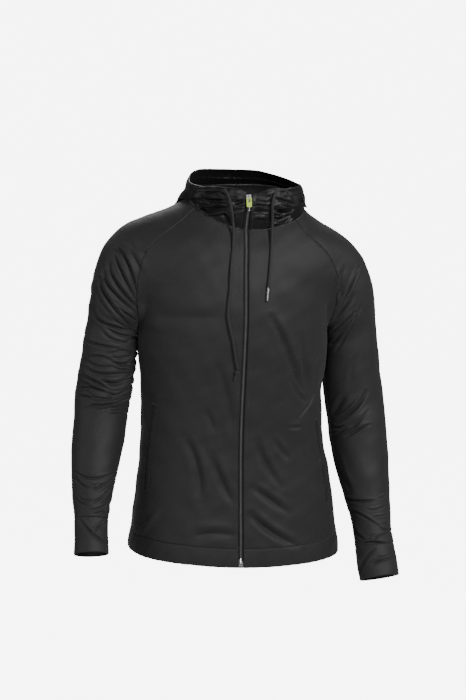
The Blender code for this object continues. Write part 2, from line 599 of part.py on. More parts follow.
def front_grid(side):
    """One front: rows from the zip to the side seam, and higher up to the raglan seam."""
    outer = np.vstack([side_edge(side), raglan(side, "front")[1:]])
    neck = neckline([zip_angle()])[0]
    low = np.linspace(hem_height(0.0) + BAND, CHEST, BODY_ROWS + 1)
    high = np.linspace(CHEST, neck[2], YOKE_ROWS + 1)[1:]
    inner = zip_points(np.r_[low, high])
    inner[:, 0] += SIGN[side] * ZIP_HALF
    inner[:-1] = settle(inner[:-1], "trunk", turns=3)
    angles = np.linspace(zip_angle(), RAGLAN_TOPS[side, "front"], FRONT_COLUMNS + 1)
    top = neckline(angles)
    top[0] = inner[-1]
    top[-1] = outer[-1]
    grid = between(inner, outer, FRONT_COLUMNS, "front")
    grid[0, :, 2] = hem_height(grid[0, :, 0]) + BAND
    grid[0] = settle(grid[0], "trunk", turns=3)
    return lay(grid, BODY_ROWS, "trunk", top)


def back_grid():
    """The back: rows from the wearer's left side to the right, up to the back neckline."""
    left = np.vstack([side_edge("left"), raglan("left", "back")[1:]])
    right = np.vstack([side_edge("right"), raglan("right", "back")[1:]])
    grid = between(left, right, BACK_COLUMNS, "back")
    grid[0, :, 2] = hem_height(grid[0, :, 0]) + BAND
    grid[0, 1:-1] = settle(grid[0, 1:-1], "trunk", turns=3)
    top = neckline(np.linspace(RAGLAN_TOPS["left", "back"], 360 + RAGLAN_TOPS["right", "back"],
                               BACK_COLUMNS + 1))
    top[0], top[-1] = left[-1], right[-1]
    return lay(grid, BODY_ROWS, "trunk", top)


def arm_frame(side, at):
    """Middle, radius, direction towards the neck, outward and forward directions along a sleeve."""
    curve = ARM_CURVES[side]
    index = np.arange(len(curve))
    value = np.stack([np.interp(at, index, curve[:, k]) for k in range(4)], axis=-1)
    tangent = -np.gradient(curve[:, :3], axis=0)
    up = np.stack([np.interp(at, index, tangent[:, k]) for k in range(3)], axis=-1)
    up /= np.linalg.norm(up, axis=-1, keepdims=True)
    outward = np.stack([SIGN[side] * up[..., 2], 0 * up[..., 0], -SIGN[side] * up[..., 0]], axis=-1)
    outward /= np.linalg.norm(outward, axis=-1, keepdims=True)
    forward = np.cross(up, outward) * SIGN[side]
    forward *= np.sign(-forward[..., 1:2])
    return value[..., :3], value[..., 3], up, outward, forward


def arm_place(side, height):
    """Place along the sleeve's middle line where it has a given height, below the shoulder."""
    curve = ARM_CURVES[side]
    return np.interp(-height, -curve[:, 2], np.arange(len(curve)))


def arm_ring(side, at, start, columns):
    """Rings of points round the sleeve, from an angle all the way round to itself."""
    middle, radius, _, outward, forward = arm_frame(side, at)
    angle = start - 2 * np.pi * np.linspace(0, 1, columns + 1)
    ring = (np.cos(angle)[:, None] * outward[:, None] + np.sin(angle)[:, None] * forward[:, None])
    return middle[:, None] + radius[:, None, None] * ring


def sleeve_grid(side):
    """A sleeve: rings from the cuff to the underarm, then open rows from raglan to raglan."""
    front, back = raglan(side, "front"), raglan(side, "back")
    under = arm_place(side, UNDERARM[side][2])
    cuff = arm_place(side, CUFF_END[side] + CUFF[side])
    at = np.linspace(cuff, under, SLEEVE_ROWS + 1)
    tube = arm_ring(side, at, np.pi, SLEEVE_COLUMNS)
    tube[:, :-1] = settle(tube[:, :-1], "arm_" + side, turns=3)
    tube[:, -1] = tube[:, 0]
    tube[-1, 0] = tube[-1, -1] = UNDERARM[side]
    rows = []
    curve = ARM_CURVES[side][:, :3]
    t = np.linspace(0, 1, SLEEVE_COLUMNS + 1)
    for start, end in zip(front[1:], back[1:]):
        place = np.argmin(np.linalg.norm(curve - (start + end) / 2, axis=1))
        middle, radius, up, outward, forward = arm_frame(side, np.array(float(place)))
        polar = []
        for point in (start, end):
            away = point - middle
            polar.append((np.arctan2(away @ forward, away @ outward),
                          np.hypot(away @ forward, away @ outward), away @ up))
        (angle_f, radius_f, up_f), (angle_b, radius_b, up_b) = polar
        angle_f += 2 * np.pi if angle_f < 0 else 0
        angle_b -= 2 * np.pi if angle_b > 0 else 0
        angle = angle_f + (angle_b - angle_f) * t
        round_ = np.sin(np.pi * t) ** 0.5
        away = (radius_f + (radius_b - radius_f) * t) * (1 - round_) + radius * round_
        rise = up_f + (up_b - up_f) * t
        rows.append(middle + away[:, None] * (np.cos(angle)[:, None] * outward
                                              + np.sin(angle)[:, None] * forward)
                    + rise[:, None] * up)
    yoke = np.array(rows)
    yoke[:, 0], yoke[:, -1] = front[1:], back[1:]
    grid = np.vstack([tube, yoke])
    top = neckline(np.linspace(RAGLAN_TOPS[side, "front"], RAGLAN_TOPS[side, "back"],
                               SLEEVE_COLUMNS + 1))
    top[0], top[-1] = front[-1], back[-1]
    return lay(grid, SLEEVE_ROWS, "arm_" + side, top)


# ---------------------------------------------------------------- walls
def mesh_normals(grid):
    """Outward direction of a grid from its own neighbours."""
    along = np.gradient(grid, axis=0)
    round_ = np.gradient(grid, axis=1)
    normal = np.cross(round_, along)
    return normal / np.maximum(np.linalg.norm(normal, axis=-1, keepdims=True), 1e-12)


def cloth_normals(grid, rows_below, below, side=None):
    """Outward direction from the cloth's form, or from the grid itself close to an underarm."""
    normal = np.empty_like(grid)
    normal[:rows_below + 1] = slope(grid[:rows_below + 1], below)
    normal[rows_below + 1:] = slope(grid[rows_below + 1:], "whole")
    normal /= np.linalg.norm(normal, axis=-1, keepdims=True)
    own = mesh_normals(grid)
    own *= np.sign((own * normal).sum(-1).mean())
    near = np.ones(grid.shape[:2])
    for corner in UNDERARM.values():
        near = np.minimum(near, ramp(np.linalg.norm(grid - corner, axis=-1), 0.025, 0.055))
    normal = near[..., None] * normal + (1 - near[..., None]) * own
    return normal / np.linalg.norm(normal, axis=-1, keepdims=True)


def trim(grid, left=0, right=0, bottom=0, top=0):
    """Draw a grid's edges in, each along its own rows or columns."""
    grid = grid.copy()

    def draw(edge, inner, width):
        away = inner - edge
        return edge + width * away / np.linalg.norm(away, axis=-1, keepdims=True)

    source = grid.copy()
    if left:
        grid[:, 0] = draw(source[:, 0], source[:, 1], left)
    if right:
        grid[:, -1] = draw(source[:, -1], source[:, -2], right)
    if bottom:
        grid[0] += draw(source[0], source[1], bottom) - source[0]
    if top:
        grid[-1] += draw(source[-1], source[-2], top) - source[-1]
    return grid


def material(name, colour, roughness, metallic=0.0):
    """A plain finish."""
    made = bpy.data.materials.new(name)
    made.use_nodes = True
    shader = made.node_tree.nodes["Principled BSDF"]
    shader.inputs["Base Color"].default_value = (*colour, 1)
    shader.inputs["Roughness"].default_value = roughness
    shader.inputs["Metallic"].default_value = metallic
    return made


def add_mesh(name, points, faces, finish):
    """Add one object with one material."""
    mesh = bpy.data.meshes.new(name)
    mesh.from_pydata([tuple(p) for p in points], [], [tuple(f) for f in faces])
    mesh.validate()
    mesh.materials.append(finish)
    mesh.shade_smooth()
    mesh.set_sharp_from_angle(angle=np.radians(50))
    part = bpy.data.objects.new(name, mesh)
    bpy.context.scene.collection.objects.link(part)
    return part


def wall(name, grid, normal, finish, thickness=WALL, closed_rows=0):
    """A cloth wall: the grid outside, the same grid moved in by the thickness, and its edges closed.

    In the first closed_rows rows the last column is the first one again, as in a tube.
    """
    rows, columns = grid.shape[:2]
    number = np.arange(rows * columns).reshape(rows, columns)
    number[:closed_rows, -1] = number[:closed_rows, 0]
    faces = np.stack([number[:-1, :-1], number[:-1, 1:], number[1:, 1:], number[1:, :-1]],
                     axis=-1).reshape(-1, 4)
    middle = rows // 2
    test = np.cross(grid[middle, 1] - grid[middle, 0], grid[middle + 1, 0] - grid[middle, 0])
    if test @ normal[middle, 0] < 0:
        faces = faces[:, ::-1]
    outer = grid.reshape(-1, 3)
    inner = outer - thickness * normal.reshape(-1, 3)
    edges = np.concatenate([np.stack([faces[:, k], faces[:, (k + 1) % 4]], axis=-1)
                            for k in range(4)])
    pairs = {tuple(e) for e in edges}
    rim = [e for e in pairs if (e[1], e[0]) not in pairs]
    count = len(outer)
    sides = [(b, a, a + count, b + count) for a, b in sorted(rim)]
    points = np.vstack([outer, inner])
    every = [tuple(f) for f in faces] + [tuple(f[::-1] + count) for f in faces] + sides
    used = sorted({i for f in every for i in f})
    order = {old: new for new, old in enumerate(used)}
    return add_mesh(name, points[used], [[order[i] for i in f] for f in every], finish)


# ---------------------------------------------------------------- hood
def hood_grid(side):
    """One half of the hood: columns round the neck from the zip, rows from neckline to open edge."""
    sign = SIGN[side]
    first = sign * zip_angle() + np.degrees(ZIP_HALF / NECK_FRONT)
    last = 180 - np.degrees(SEAM / HOOD_TABLE[side][-1, 1])
    angles = np.linspace(first, last, HOOD_COLUMNS + 1)
    base = neckline(sign * angles)
    edge_r, edge_z, crest, low, bag_r, bag = np.moveaxis(
        smooth(HOOD_TABLE[side], np.clip(angles, 0, 180)), -1, 0)
    bag = np.clip(bag, 0, 1)
    base_r = np.hypot(base[:, 0] - NECK_CENTRE, base[:, 1])
    step = np.linspace(0, 1, 9)
    columns = []
    for k in range(len(angles)):
        r0, z0, r1, z1 = base_r[k], base[k, 2] + HOOD_SEAM, edge_r[k], edge_z[k]
        wide, deep = bag_r[k] - r0, crest[k] - low[k]
        bulge = 0.005 * np.sin(np.pi * step)
        stand = np.stack([r0 + (r1 - r0) * step + bulge, z0 + (z1 - z0) * step], axis=-1)
        folded = np.array([
            (r0, z0),
            (r0 + 0.04 * wide, z0 + 0.6 * (crest[k] - z0)),
            (r0 + 0.20 * wide, crest[k]),
            (r0 + 0.38 * wide, crest[k] - 0.35 * deep),
            (r0 + 0.48 * wide, low[k] + 0.15 * deep),
            (r0 + 0.72 * wide, low[k]),
            (r0 + 0.98 * wide, low[k] + 0.25 * (z1 - low[k])),
            (0.55 * bag_r[k] + 0.45 * r1, low[k] + 0.75 * (z1 - low[k])),
            (r1, z1)])
        mixed = stand + bag[k] * (folded - stand)
        columns.append(through(np.c_[mixed, np.zeros(9)], HOOD_ROWS + 1)[:, :2])
    line = np.array(columns).transpose(1, 0, 2)
    rows = np.linspace(0, 1, HOOD_ROWS + 1)[:, None]
    gathered = ramp(angles, first + 7, first + 20) * (1 - ramp(angles, 52, 72))
    wave = GATHER * np.sin(2 * np.pi * (GATHER_WAVES * rows + angles / 90)) * gathered
    radius = line[..., 0] + wave * ramp(rows, 0.05, 0.25) * (1 - ramp(rows, 0.85, 1.0))
    base_turn = np.arctan2(base[:, 0] - NECK_CENTRE, -base[:, 1])
    turn = base_turn + (np.radians(sign * angles) - base_turn) * ramp(rows, 0, 0.6)
    turn[:, -1] = np.radians(sign * last)
    grid = np.stack([NECK_CENTRE + radius * np.sin(turn), -radius * np.cos(turn), line[..., 1]],
                    axis=-1)
    lean = smooth(ZIP_LINE, grid[:, :1, 2])[..., 0] + sign * ZIP_HALF - grid[:, :1, 0]
    grid[..., 0] += lean * (1 - ramp(angles, first, 40))
    layer = CLEAR_LOW + (CLEAR_HIGH - CLEAR_LOW) * ramp(rows, 0.45, 0.8)
    for _ in range(4):
        steep = slope(grid, "whole")
        steep /= np.linalg.norm(steep, axis=-1, keepdims=True)
        rest = ramp(rows, 0.06, 0.2) * bag
        short = np.clip(layer - surface(grid, "whole"), 0, None) * rest
        grid += short[..., None] * steep
    grid[:, -1, 0] = NECK_CENTRE + sign * SEAM
    return grid


# ---------------------------------------------------------------- strips and hardware
def strip(name, middle, across, out, half, low, high, finish):
    """A flat strip along a line: its left and right edges and its lower and upper face."""
    left, right = half
    ring = [middle + left * across + low * out, middle + right * across + low * out,
            middle + right * across + high * out, middle + left * across + high * out]
    points = np.stack(ring, axis=1).reshape(-1, 3)
    count = len(middle)
    faces = [(4 * i + k, 4 * i + (k + 1) % 4, 4 * i + 4 + (k + 1) % 4, 4 * i + 4 + k)
             for i in range(count - 1) for k in range(4)]
    faces += [(3, 2, 1, 0), tuple(4 * (count - 1) + k for k in range(4))]
    along = middle[1] - middle[0]
    if np.cross(across[0], out[0]) @ along < 0:
        faces = [f[::-1] for f in faces]
    return add_mesh(name, points, faces, finish)


def block(name, low, high, finish, frame=None):
    """A box from its lowest and highest corners: across, inwards and up in its frame."""
    x0, y0, z0 = low
    x1, y1, z1 = high
    points = [(x, y, z) for z in (z0, z1) for x, y in ((x0, y0), (x1, y0), (x1, y1), (x0, y1))]
    faces = [(3, 2, 1, 0), (4, 5, 6, 7), (0, 1, 5, 4), (1, 2, 6, 5), (2, 3, 7, 6), (3, 0, 4, 7)]
    points = np.array(points)
    if frame is not None:
        origin, inwards, up = frame
        points = origin + points[:, :1] * (1, 0, 0) + points[:, 1:2] * inwards + points[:, 2:] * up
    return add_mesh(name, points, faces, finish)


def cut(part, tool, operation):
    """Join a tool to a part or cut it out, and hide the tool."""
    change = part.modifiers.new("shape", "BOOLEAN")
    change.operation = operation
    change.solver = "EXACT"
    change.object = tool
    tool.hide_render = True
    tool.display_type = "WIRE"


def set_origin(part, point):
    """Move an object's origin to a point and leave its shape where it is."""
    part.data.transform(Matrix.Translation(-Vector(point)))
    part.location = point


def turned(name, start, end, profile, finish, sides=10):
    """A round piece along a line, closed at both ends, from its profile: share of length, radius."""
    start, end = np.array(start), np.array(end)
    along = end - start
    first = np.cross(along, (1.0, 0.2, 0.0))
    first /= np.linalg.norm(first)
    second = np.cross(along / np.linalg.norm(along), first)
    turn = 2 * np.pi * np.arange(sides) / sides
    ring = np.cos(turn)[:, None] * first + np.sin(turn)[:, None] * second
    points = [start + profile[0][0] * along]
    for share, radius in profile[1:-1]:
        points.extend(start + share * along + radius * ring)
    points.append(start + profile[-1][0] * along)
    count = len(profile) - 2
    faces = [(0, 1 + (k + 1) % sides, 1 + k) for k in range(sides)]
    for row in range(count - 1):
        base = 1 + row * sides
        faces += [(base + k, base + (k + 1) % sides, base + sides + (k + 1) % sides, base + sides + k)
                  for k in range(sides)]
    base = 1 + (count - 1) * sides
    faces += [(base + k, base + (k + 1) % sides, len(points) - 1) for k in range(sides)]
    return add_mesh(name, points, faces, finish)


def cord(name, route, radius):
    """A round cord through its route."""
    route = np.array(route)
    length = np.linalg.norm(np.diff(route, axis=0), axis=1).sum()
    points = through(route, int(length / (2.4 * 2 * radius)) + 2)
    curve = bpy.data.curves.new(name, "CURVE")
    curve.dimensions = "3D"
    curve.bevel_depth = radius
    curve.bevel_resolution = 2
    curve.use_fill_caps = True
    spline = curve.splines.new("POLY")
    spline.points.add(len(points) - 1)
    spline.points.foreach_set("co", np.c_[points, np.ones(len(points))].ravel())
    curve.materials.append(CORD)
    part = bpy.data.objects.new(name, curve)
    bpy.context.scene.collection.objects.link(part)
    return part


# ---------------------------------------------------------------- build
for old in list(bpy.data.objects):
    bpy.data.objects.remove(old, do_unlink=True)

CLOTH = material("black_tricot", (0.018, 0.018, 0.019), 0.55)
TAPE = material("zip_tape", (0.010, 0.010, 0.011), 0.80)
COIL = material("zip_coil", (0.30, 0.30, 0.31), 0.45)
METAL = material("dull_nickel", (0.55, 0.55, 0.56), 0.30, 1.0)
GRIP = material("lime_grip", (0.55, 0.75, 0.08), 0.45)
CORD = material("braided_cord", (0.03, 0.03, 0.032), 0.80)

fronts = {side: front_grid(side) for side in ("right", "left")}
back = back_grid()
sleeves = {side: sleeve_grid(side) for side in ("right", "left")}
hoods = {side: hood_grid(side) for side in ("right", "left")}

# Fronts, sleeves and back: each stops short of its seams by the seam gap.
for side in ("right", "left"):
    normal = cloth_normals(fronts[side], BODY_ROWS, "trunk")
    wall("front_" + side, trim(fronts[side], right=SEAM, bottom=SEAM, top=SEAM), normal, CLOTH)
    normal = cloth_normals(sleeves[side], SLEEVE_ROWS, "arm_" + side)
    grid = trim(sleeves[side], bottom=SEAM, top=SEAM)
    yoke = trim(sleeves[side], left=SEAM, right=SEAM)
    grid[SLEEVE_ROWS + 1:, [0, -1]] = yoke[SLEEVE_ROWS + 1:, [0, -1]]
    corner = UNDERARM[side] + 3 * SEAM * np.array([0.3 * SIGN[side], 0, -0.95])
    grid[SLEEVE_ROWS, [0, -1]] = corner
    wall("sleeve_" + side, grid, normal, CLOTH, closed_rows=SLEEVE_ROWS + 1)
back_normal = cloth_normals(back, BODY_ROWS, "trunk")
wall("back", trim(back, left=SEAM, right=SEAM, bottom=SEAM, top=SEAM), back_normal, CLOTH)

# Hood halves, from the neckline up over the crest and down into the bag.
for side in ("right", "left"):
    normal = mesh_normals(hoods[side])
    outward = hoods[side][2, 3] - np.array([NECK_CENTRE, 0, hoods[side][2, 3, 2]])
    normal *= np.sign(normal[2, 3] @ outward)
    wall("hood_" + side, hoods[side], normal, CLOTH)

# Hem band: the lowest points of the panels carried down to the hem's lower edge, two layers thick.
top = np.vstack([fronts["left"][0], back[0, 1:], fronts["right"][0, -2::-1]])
low = np.c_[top[:, :2], hem_height(top[:, 0])]
band = np.stack([low, (low + top) / 2, top])
band[:2] = settle(band[:2], "trunk", turns=3)
band[..., [0, -1], 0] = [[smooth(ZIP_LINE, row[0, 2])[0] + ZIP_HALF,
                          smooth(ZIP_LINE, row[-1, 2])[0] - ZIP_HALF] for row in band]
band_normal = slope(band, "trunk")
band_normal /= np.linalg.norm(band_normal, axis=-1, keepdims=True)
wall("hem_band", trim(band, top=SEAM), band_normal, CLOTH, BAND_WALL)

# Cuffs: the sleeve's lowest ring carried on to its open end.
for side in ("right", "left"):
    start = arm_place(side, CUFF_END[side] + CUFF[side])
    end = arm_place(side, CUFF_END[side])
    rings = arm_ring(side, np.linspace(end, start, 4), np.pi, SLEEVE_COLUMNS)
    rings[-1] = sleeves[side][0]
    rings[:, -1] = rings[:, 0]
    normal = slope(rings, "arm_" + side)
    normal /= np.linalg.norm(normal, axis=-1, keepdims=True)
    wall("cuff_" + side, trim(rings, top=SEAM), normal, CLOTH, BAND_WALL, closed_rows=4)


# ---------------------------------------------------------------- zip
# The zip's middle line runs up the hem band, the fronts and the standing front of the hood. Each of
# its points lies midway between the two cloth edges and takes its outward direction from them.
collar = hoods["left"][:, 0, 2] < ZIP_TOP
left_edge = np.vstack([band[:-1, 0], fronts["left"][:, 0], hoods["left"][collar, 0][1:]])
right_edge = np.vstack([band[:-1, -1], fronts["right"][:, 0], hoods["right"][collar, 0][1:]])
zip_middle = (left_edge + right_edge) / 2
across = left_edge - right_edge
across /= np.linalg.norm(across, axis=1, keepdims=True)
zip_out = np.cross(across, np.gradient(zip_middle, axis=0))
zip_out *= np.sign(-zip_out[:, 1:2])
zip_out /= np.linalg.norm(zip_out, axis=1, keepdims=True)
behind = -(BAND_WALL + TAPE_CLEAR)
for side, half in (("right", (-TAPE_WIDTH, -TAPE_CLEAR)), ("left", (TAPE_CLEAR, TAPE_WIDTH))):
    strip("zip_tape_" + side, zip_middle, across, zip_out, half, behind - TAPE_THICKNESS, behind,
          TAPE)
above_stop = zip_middle[:, 2] > band[0, 0, 2] + STOP_HEIGHT
strip("zip_teeth", zip_middle[above_stop], across[above_stop], zip_out[above_stop],
      (-TEETH_HALF, TEETH_HALF), behind + TEETH_CLEAR, TEETH_FRONT, COIL)

# Metal box at the bottom of the zip.
UPRIGHT = (np.array((0.0, 1.0, 0.0)), np.array((0.0, 0.0, 1.0)))
block("zip_stop", (-STOP_HALF, -STOP_FRONT, STOP_GAP),
      (STOP_HALF, -behind - TEETH_CLEAR, STOP_HEIGHT - STOP_GAP), METAL, (zip_middle[0], *UPRIGHT))

# Slider: a plate over the coil with a bail in front, through which the pull tab's upper bar passes.
# Its frame stands on the coil: across, inwards and up along the collar.
lean = np.arctan(SLIDER_LEAN)
inwards = np.array((0.0, np.cos(lean), -np.sin(lean)))
upwards = np.array((0.0, np.sin(lean), np.cos(lean)))
slider_frame = (np.array(SLIDER_PLACE), inwards, upwards)
slider = block("zip_slider", *SLIDER_PLATE, METAL, slider_frame)
bail = block("bail", *BAIL, METAL, slider_frame)
gap = block("bail_gap", *BAIL_GAP, METAL, slider_frame)
cut(bail, gap, "DIFFERENCE")
cut(slider, bail, "UNION")
pull = block("zip_pull", (-PULL_HALF, -HINGE_OUT - PULL_THICK / 2, -PULL_LENGTH),
             (PULL_HALF, -HINGE_OUT + PULL_THICK / 2, PULL_ABOVE), GRIP, slider_frame)
window = block("pull_window", *PULL_WINDOW, GRIP, slider_frame)
cut(pull, window, "DIFFERENCE")
hinge = slider_frame[0] - HINGE_OUT * inwards
set_origin(pull, hinge)

# Pocket welts: strips stitched on the fronts.
for side, places in POCKETS.items():
    t = np.linspace(0, 1, 9)
    line = np.array([np.interp(t, (0, 0.5, 1), places[:, k]) for k in (0, 1)]).T
    middle = land(np.c_[line[:, 0], np.full(9, -0.17), line[:, 1]], "trunk", (0, 1, 0))
    out = slope(middle, "trunk")
    out /= np.linalg.norm(out, axis=1, keepdims=True)
    side_way = np.cross(np.gradient(middle, axis=0), out)
    side_way /= np.linalg.norm(side_way, axis=1, keepdims=True)
    width = WELT_HALF * np.array((-1, 0, 1))[None, :, None]
    grid = settle(middle[:, None] + width * side_way[:, None], "trunk", turns=2)
    normal = slope(grid, "trunk")
    normal /= np.linalg.norm(normal, axis=-1, keepdims=True)
    grid += (WELT_LIFT + WELT) * normal
    wall("pocket_welt_" + side, grid, normal, CLOTH, WELT)

# Drawcords: each leaves the hood's tunnel, bends down and lies on the fronts.
cord("drawcord_right", CORD_RIGHT, CORD_RADIUS)
cord("drawcord_left", CORD_LEFT, CORD_RADIUS)
turned("cord_knot_right", KNOT_START, KNOT_END, KNOT_PROFILE, CORD)
turned("cord_tip_left", TIP_START, TIP_END, TIP_PROFILE, METAL)
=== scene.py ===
"""Hooded track jacket in its worn form: fine cloth, seams, stitches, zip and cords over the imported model.

Metres, +Z up. The wearer faces -Y and the wearer's left arm is on +X, with the origin in the middle
of the neck opening. Every panel is read more finely from the same form that the solids follow.
"""

import bmesh
import bpy
import numpy as np
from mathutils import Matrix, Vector


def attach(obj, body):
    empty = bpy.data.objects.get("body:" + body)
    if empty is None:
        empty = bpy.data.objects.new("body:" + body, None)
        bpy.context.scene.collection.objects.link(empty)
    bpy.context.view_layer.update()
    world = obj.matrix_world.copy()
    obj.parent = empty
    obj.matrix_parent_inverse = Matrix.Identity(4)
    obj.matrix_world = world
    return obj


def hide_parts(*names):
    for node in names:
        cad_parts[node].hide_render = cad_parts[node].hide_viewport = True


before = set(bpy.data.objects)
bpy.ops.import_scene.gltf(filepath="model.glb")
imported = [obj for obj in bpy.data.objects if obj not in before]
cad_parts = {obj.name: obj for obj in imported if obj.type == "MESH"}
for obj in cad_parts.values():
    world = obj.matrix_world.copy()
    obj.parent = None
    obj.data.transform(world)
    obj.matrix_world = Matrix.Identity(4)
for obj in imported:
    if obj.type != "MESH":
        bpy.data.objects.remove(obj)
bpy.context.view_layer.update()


# ------------ camera
# A long lens at the height of the chin, a little to the wearer's right, looking slightly down.
TURN, TILT = np.radians(10.0), np.radians(9.8)
camera = bpy.data.objects.new("camera", bpy.data.cameras.new("camera"))
camera.data.sensor_width = 36.0
camera.data.lens = 90.0
camera.location = (-3.0 * np.sin(TURN), -3.0 * np.cos(TURN), 0.25)
camera.rotation_euler = (np.pi / 2 - TILT, 0.0, -TURN)
bpy.context.scene.collection.objects.link(camera)
bpy.context.scene.camera = camera


# ------------ drawcords
# Two ends of one round polyester braid, 4.5 mm thick, that runs in the tunnel round the hood's open
# edge. Each end leaves the tunnel through a stitched buttonhole and hangs on the chest: the right
# one ends in a tight overhand knot, the left one in a crimped metal tip.
CORD_RADIUS = 0.00225
RING_STEP = 0.0007        # distance from one ring of the braid's mesh to the next
BRAID_RELIEF = 0.00020    # how far the strands stand up
STRANDS_ROUND = 12        # strands round the cord, painted paler on top and darker between them
STRAND_STEP = 0.002       # from one crossing of the strands to the next along the cord
CORD_RIGHT = np.array([
    (-0.0278, -0.0740, 0.0150), (-0.0252, -0.0760, 0.0136), (-0.0226, -0.0779, 0.0092),
    (-0.0203, -0.0799, 0.0025), (-0.0185, -0.0818, -0.0060), (-0.0166, -0.0822, -0.0160),
    (-0.0150, -0.0818, -0.0280), (-0.0138, -0.0812, -0.0400), (-0.0132, -0.0830, -0.0540),
    (-0.0158, -0.0920, -0.0760), (-0.0200, -0.1028, -0.1000), (-0.0230, -0.1105, -0.1220),
    (-0.0250, -0.1163, -0.1470), (-0.0282, -0.1195, -0.1680), (-0.0296, -0.1212, -0.1890),
    (-0.0265, -0.1220, -0.2100), (-0.0225, -0.1220, -0.2280), (-0.0190, -0.1213, -0.2470),
    (-0.0158, -0.1199, -0.2680), (-0.0130, -0.1188, -0.2810)])
CORD_LEFT = np.array([
    (0.0778, -0.0672, 0.0138), (0.0725, -0.0704, 0.0150), (0.0665, -0.0740, 0.0147),
    (0.0605, -0.0770, 0.0115), (0.0562, -0.0794, 0.0055), (0.0538, -0.0819, -0.0020),
    (0.0526, -0.0836, -0.0110), (0.0527, -0.0822, -0.0250), (0.0530, -0.0815, -0.0380),
    (0.0524, -0.0828, -0.0520), (0.0505, -0.0890, -0.0700), (0.0475, -0.0988, -0.0910),
    (0.0445, -0.1067, -0.1120), (0.0415, -0.1126, -0.1330), (0.0397, -0.1152, -0.1440)])


def smooth(table, at):
    """Cubic through a table's rows: each slope is the mean slope to the two neighbours."""
    knots, values = table[:, 0], table[:, 1:]
    slopes = np.gradient(values, knots, axis=0)
    at = np.clip(np.asarray(at, float), knots[0], knots[-1])
    low = np.clip(np.searchsorted(knots, at) - 1, 0, len(knots) - 2)
    step = (knots[low + 1] - knots[low])[..., None]
    t = (at - knots[low])[..., None] / step
    return ((1 + 2 * t) * (1 - t) ** 2 * values[low] + t * (1 - t) ** 2 * step * slopes[low]
            + t * t * (3 - 2 * t) * values[low + 1] - t * t * (1 - t) * step * slopes[low + 1])


def looked_up(rows, run, at):
    """Each column of a table read at the given places, by straight lines between its rows."""
    return np.stack([np.interp(at, run, column) for column in rows.T], axis=-1)


def through(points, count):
    """Points at equal lengths along the cubic through the given points."""
    points = np.asarray(points, float)
    chord = np.r_[0, np.cumsum(np.linalg.norm(np.diff(points, axis=0), axis=1))]
    dense = smooth(np.c_[chord, points], np.linspace(0, chord[-1], max(400, 2 * count)))
    run = np.r_[0, np.cumsum(np.linalg.norm(np.diff(dense, axis=0), axis=1))]
    return looked_up(dense, run, np.linspace(0, run[-1], count))


def unit(v):
    """Vectors divided by their lengths."""
    return v / np.maximum(np.linalg.norm(v, axis=-1, keepdims=True), 1e-12)


def put(name, points, quads, finish, uv=None, caps=()):
    """Make an object from arrays: corner places, four corners a face, and a place in the cloth for
    each face corner. Caps are the rings that close its open ends."""
    mesh = bpy.data.meshes.new(name)
    faces = [tuple(q) for q in quads.tolist()] + [tuple(c) for c in caps]
    mesh.from_pydata(points.reshape(-1, 3).tolist(), [], faces)
    mesh.polygons.foreach_set("use_smooth", np.ones(len(faces), bool))
    if uv is not None:
        layer = mesh.uv_layers.new(name="cloth")
        flat = np.zeros((len(mesh.loops), 2))
        flat[:quads.size] = uv.reshape(-1, 2)
        layer.data.foreach_set("uv", flat.ravel())
    mesh.materials.append(finish)
    mesh.update()
    part = bpy.data.objects.new(name, mesh)
    bpy.context.scene.collection.objects.link(part)
    return part


def carry(name, path, radius, sides, finish, relief=0.0, strands=6, lay=0.004):
    """A tube: round a path, a ring whose radius may change along it. A braid's relief is the higher
    of two cosines that wind round the tube in opposite ways, one turn of the pattern in each lay."""
    along = unit(np.gradient(path, axis=0))
    first = unit(np.cross(along, (0.0, 1.0, 0.0)))
    second = np.cross(along, first)
    run = np.r_[0, np.cumsum(np.linalg.norm(np.diff(path, axis=0), axis=1))]
    turn = 2 * np.pi * np.arange(sides)[None, :] / sides
    phase = 2 * np.pi * run[:, None] / lay
    braid = np.maximum(np.cos(strands * turn + phase), np.cos(strands * turn - phase))
    size = np.broadcast_to(radius, run.shape)[:, None] + relief * (braid - 0.6)
    ring = (np.cos(turn)[..., None] * first[:, None] + np.sin(turn)[..., None] * second[:, None])
    points = path[:, None] + size[..., None] * ring
    number = np.arange(points.shape[0] * sides).reshape(-1, sides)
    turned = np.roll(number, -1, axis=1)
    quads = np.stack([number[:-1], turned[:-1], turned[1:], number[1:]], axis=-1).reshape(-1, 4)
    around = np.arange(sides + 1) * 2 * np.pi * np.mean(radius) / sides
    u = np.stack([around[:-1], around[1:], around[1:], around[:-1]], axis=-1)
    v = np.stack([run[:-1], run[:-1], run[1:], run[1:]], axis=-1)
    uv = np.stack(np.broadcast_arrays(u[None], v[:, None]), axis=-1)
    return put(name, points, quads, finish, uv, (number[0, ::-1], number[-1]))


def finish_with(name, colour, roughness, **sockets):
    """A material whose even values sit on the shader's own sockets."""
    made = bpy.data.materials.new(name)
    made.use_nodes = True
    shader = made.node_tree.nodes["Principled BSDF"]
    shader.inputs["Base Color"].default_value = (*colour, 1)
    shader.inputs["Roughness"].default_value = roughness
    for socket, value in sockets.items():
        shader.inputs[socket.replace("_", " ")].default_value = value
    return made, made.node_tree.nodes, made.node_tree.links, shader


def group_of(name, inputs, outputs):
    """An empty node group with number inputs, given their starting values, and named outputs."""
    group = bpy.data.node_groups.new(name, "ShaderNodeTree")
    for label, value in inputs.items():
        kind = "NodeSocketVector" if value is None else "NodeSocketFloat"
        socket = group.interface.new_socket(label, in_out="INPUT", socket_type=kind)
        if value is not None:
            socket.default_value = value
    for label in outputs:
        group.interface.new_socket(label, in_out="OUTPUT", socket_type="NodeSocketFloat")
    return group, group.nodes.new("NodeGroupInput"), group.nodes.new("NodeGroupOutput")


